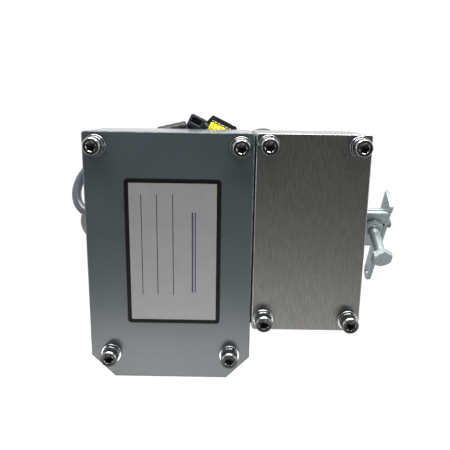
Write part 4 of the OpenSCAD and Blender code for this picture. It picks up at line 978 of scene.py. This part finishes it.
# finishes of the pieces that the solids already show well
carried = {
    "gasketFibre": ("joint_gasket", "motor_cover_gasket", "gear_cover_gasket", "shaft_seal"),
    "tumbledStainless": ("joining_screws", "board_screws"),
    "oiledGearSteel": ("sector_gear", "stop_pins", "pinion_shaft", "motor_pinion"),
    "cutBrass": ("intermediate_wheel", "sensor_posts"),
    "ferrite": ("sensor_magnet", "motor_magnets"),
    "groundSteel": ("output_bearing_inner", "output_bearing_outer", "intermediate_bearing_left",
                    "intermediate_bearing_right", "motor_bearing_front", "motor_bearing_rear", "motor_shaft"),
    "blackedSteel": ("flange_screws", "motor_yoke", "rotor_core", "motor_screws"),
    "castAluminium": ("motor_front_bell", "motor_rear_bell"),
    "turnedCopper": ("commutator",),
    "carbonBlock": ("brushes",),
    "mouldedNylon": ("brush_holder", "board_capacitors", "board_terminal"),
    "greenLaminate": ("sensor_board", "driver_board"),
}
for finishName, nodeNames in carried.items():
    for nodeName in nodeNames:
        for materialSlot in cadNodes[nodeName].material_slots:
            materialSlot.material = materials[finishName]
print("carried finishes set")


# floor, light and surroundings: the camera sees a white floor and room, while reflections see the room as a tent
# that darkens round the lens and the floor as fading towards the viewer
stageSettings = {"floor": 6.0, "floorDrop": 0.0002, "bounce": 0.8, "shadow": 0.1,
                 "tent": {"From Min": 0.35, "From Max": 0.85, "To Min": 0.5, "To Max": 0.03},
                 "fade": {"From Min": -0.25, "From Max": 0.2, "To Min": 0.1, "To Max": 1.35}}
white = (1, 1, 1, 1)


def grey(level):
    return (level, level, level, 1)


def makeFloor(settings):
    bm = bmesh.new()
    bmesh.ops.create_grid(bm, x_segments=1, y_segments=1, size=settings["floor"] / 2)
    mesh = bpy.data.meshes.new("floor")
    bm.to_mesh(mesh)
    bm.free()
    floor = linkPiece("floor", mesh)
    floor.location = (0, 0, -settings["floorDrop"])
    material = bpy.data.materials.new("paleFloor")
    material.use_nodes = True
    tree = material.node_tree
    tree.nodes.clear()
    path = addNode(tree, "ShaderNodeLightPath")
    place = addNode(tree, "ShaderNodeTexCoord")
    axes = addNode(tree, "ShaderNodeSeparateXYZ", {"Vector": place.outputs["Object"]})
    fade = addNode(tree, "ShaderNodeMapRange", {"Value": axes.outputs["Y"]}, settings["fade"])
    seen = addNode(tree, "ShaderNodeMath", {0: path.outputs["Is Camera Ray"], 1: path.outputs["Is Glossy Ray"]},
                   operation="MAXIMUM")
    strength = addNode(tree, "ShaderNodeMath", {0: path.outputs["Is Camera Ray"], 1: fade.outputs["Result"]},
                       operation="MAXIMUM")
    plain = addNode(tree, "ShaderNodeBsdfDiffuse", values={"Color": grey(settings["bounce"])})
    weak = addNode(tree, "ShaderNodeBsdfDiffuse", values={"Color": grey(settings["shadow"])})
    glow = addNode(tree, "ShaderNodeEmission", {"Strength": strength.outputs[0]}, {"Color": white})
    both = addNode(tree, "ShaderNodeAddShader", {0: weak.outputs[0], 1: glow.outputs[0]})
    mix = addNode(tree, "ShaderNodeMixShader", {"Fac": seen.outputs[0], 1: plain.outputs[0], 2: both.outputs[0]})
    addNode(tree, "ShaderNodeOutputMaterial", {"Surface": mix.outputs[0]})
    mesh.materials.append(material)


lampAim = (0, 0, 0.06)
lampSettings = (
    {"name": "topBox", "place": (0, 1.1, 0.35), "size": (1.4, 0.6), "power": 24},
    {"name": "gradientBox", "place": (0, -0.6, 0.95), "size": (1.3, 0.26), "power": 5.2},
    {"name": "leftBox", "place": (-1.0, 0.1, 0.7), "size": (0.5, 0.9), "power": 1.2},
    {"name": "rightBox", "place": (1.0, 0.2, 0.7), "size": (0.5, 0.9), "power": 2},
)


def makeLamps(lamps):
    for lamp in lamps:
        data = bpy.data.lights.new(lamp["name"], "AREA")
        data.shape = "RECTANGLE"
        data.size, data.size_y = lamp["size"]
        data.energy = lamp["power"]
        light = linkPiece(lamp["name"], data)
        light.location = lamp["place"]
        light.rotation_euler = (Vector(lampAim) - Vector(lamp["place"])).to_track_quat("-Z", "Y").to_euler()


def makeWorld(settings):
    world = bpy.data.worlds.new("studio")
    world.use_nodes = True
    bpy.context.scene.world = world
    tree = world.node_tree
    tree.nodes.clear()
    path = addNode(tree, "ShaderNodeLightPath")
    way = addNode(tree, "ShaderNodeTexCoord")
    axes = addNode(tree, "ShaderNodeSeparateXYZ", {"Vector": way.outputs["Generated"]})
    tent = addNode(tree, "ShaderNodeMapRange", {"Value": axes.outputs["Z"]}, settings["tent"])
    room = addNode(tree, "ShaderNodeBackground", {"Strength": tent.outputs["Result"]}, {"Color": white})
    shown = addNode(tree, "ShaderNodeBackground", values={"Color": white, "Strength": 1.0})
    mix = addNode(tree, "ShaderNodeMixShader",
                  {"Fac": path.outputs["Is Camera Ray"], 1: room.outputs[0], 2: shown.outputs[0]})
    addNode(tree, "ShaderNodeOutputWorld", {"Surface": mix.outputs[0]})


makeFloor(stageSettings)
makeLamps(lampSettings)
makeWorld(stageSettings)
bpy.context.scene.view_settings.view_transform = "Standard"
print("stage made")
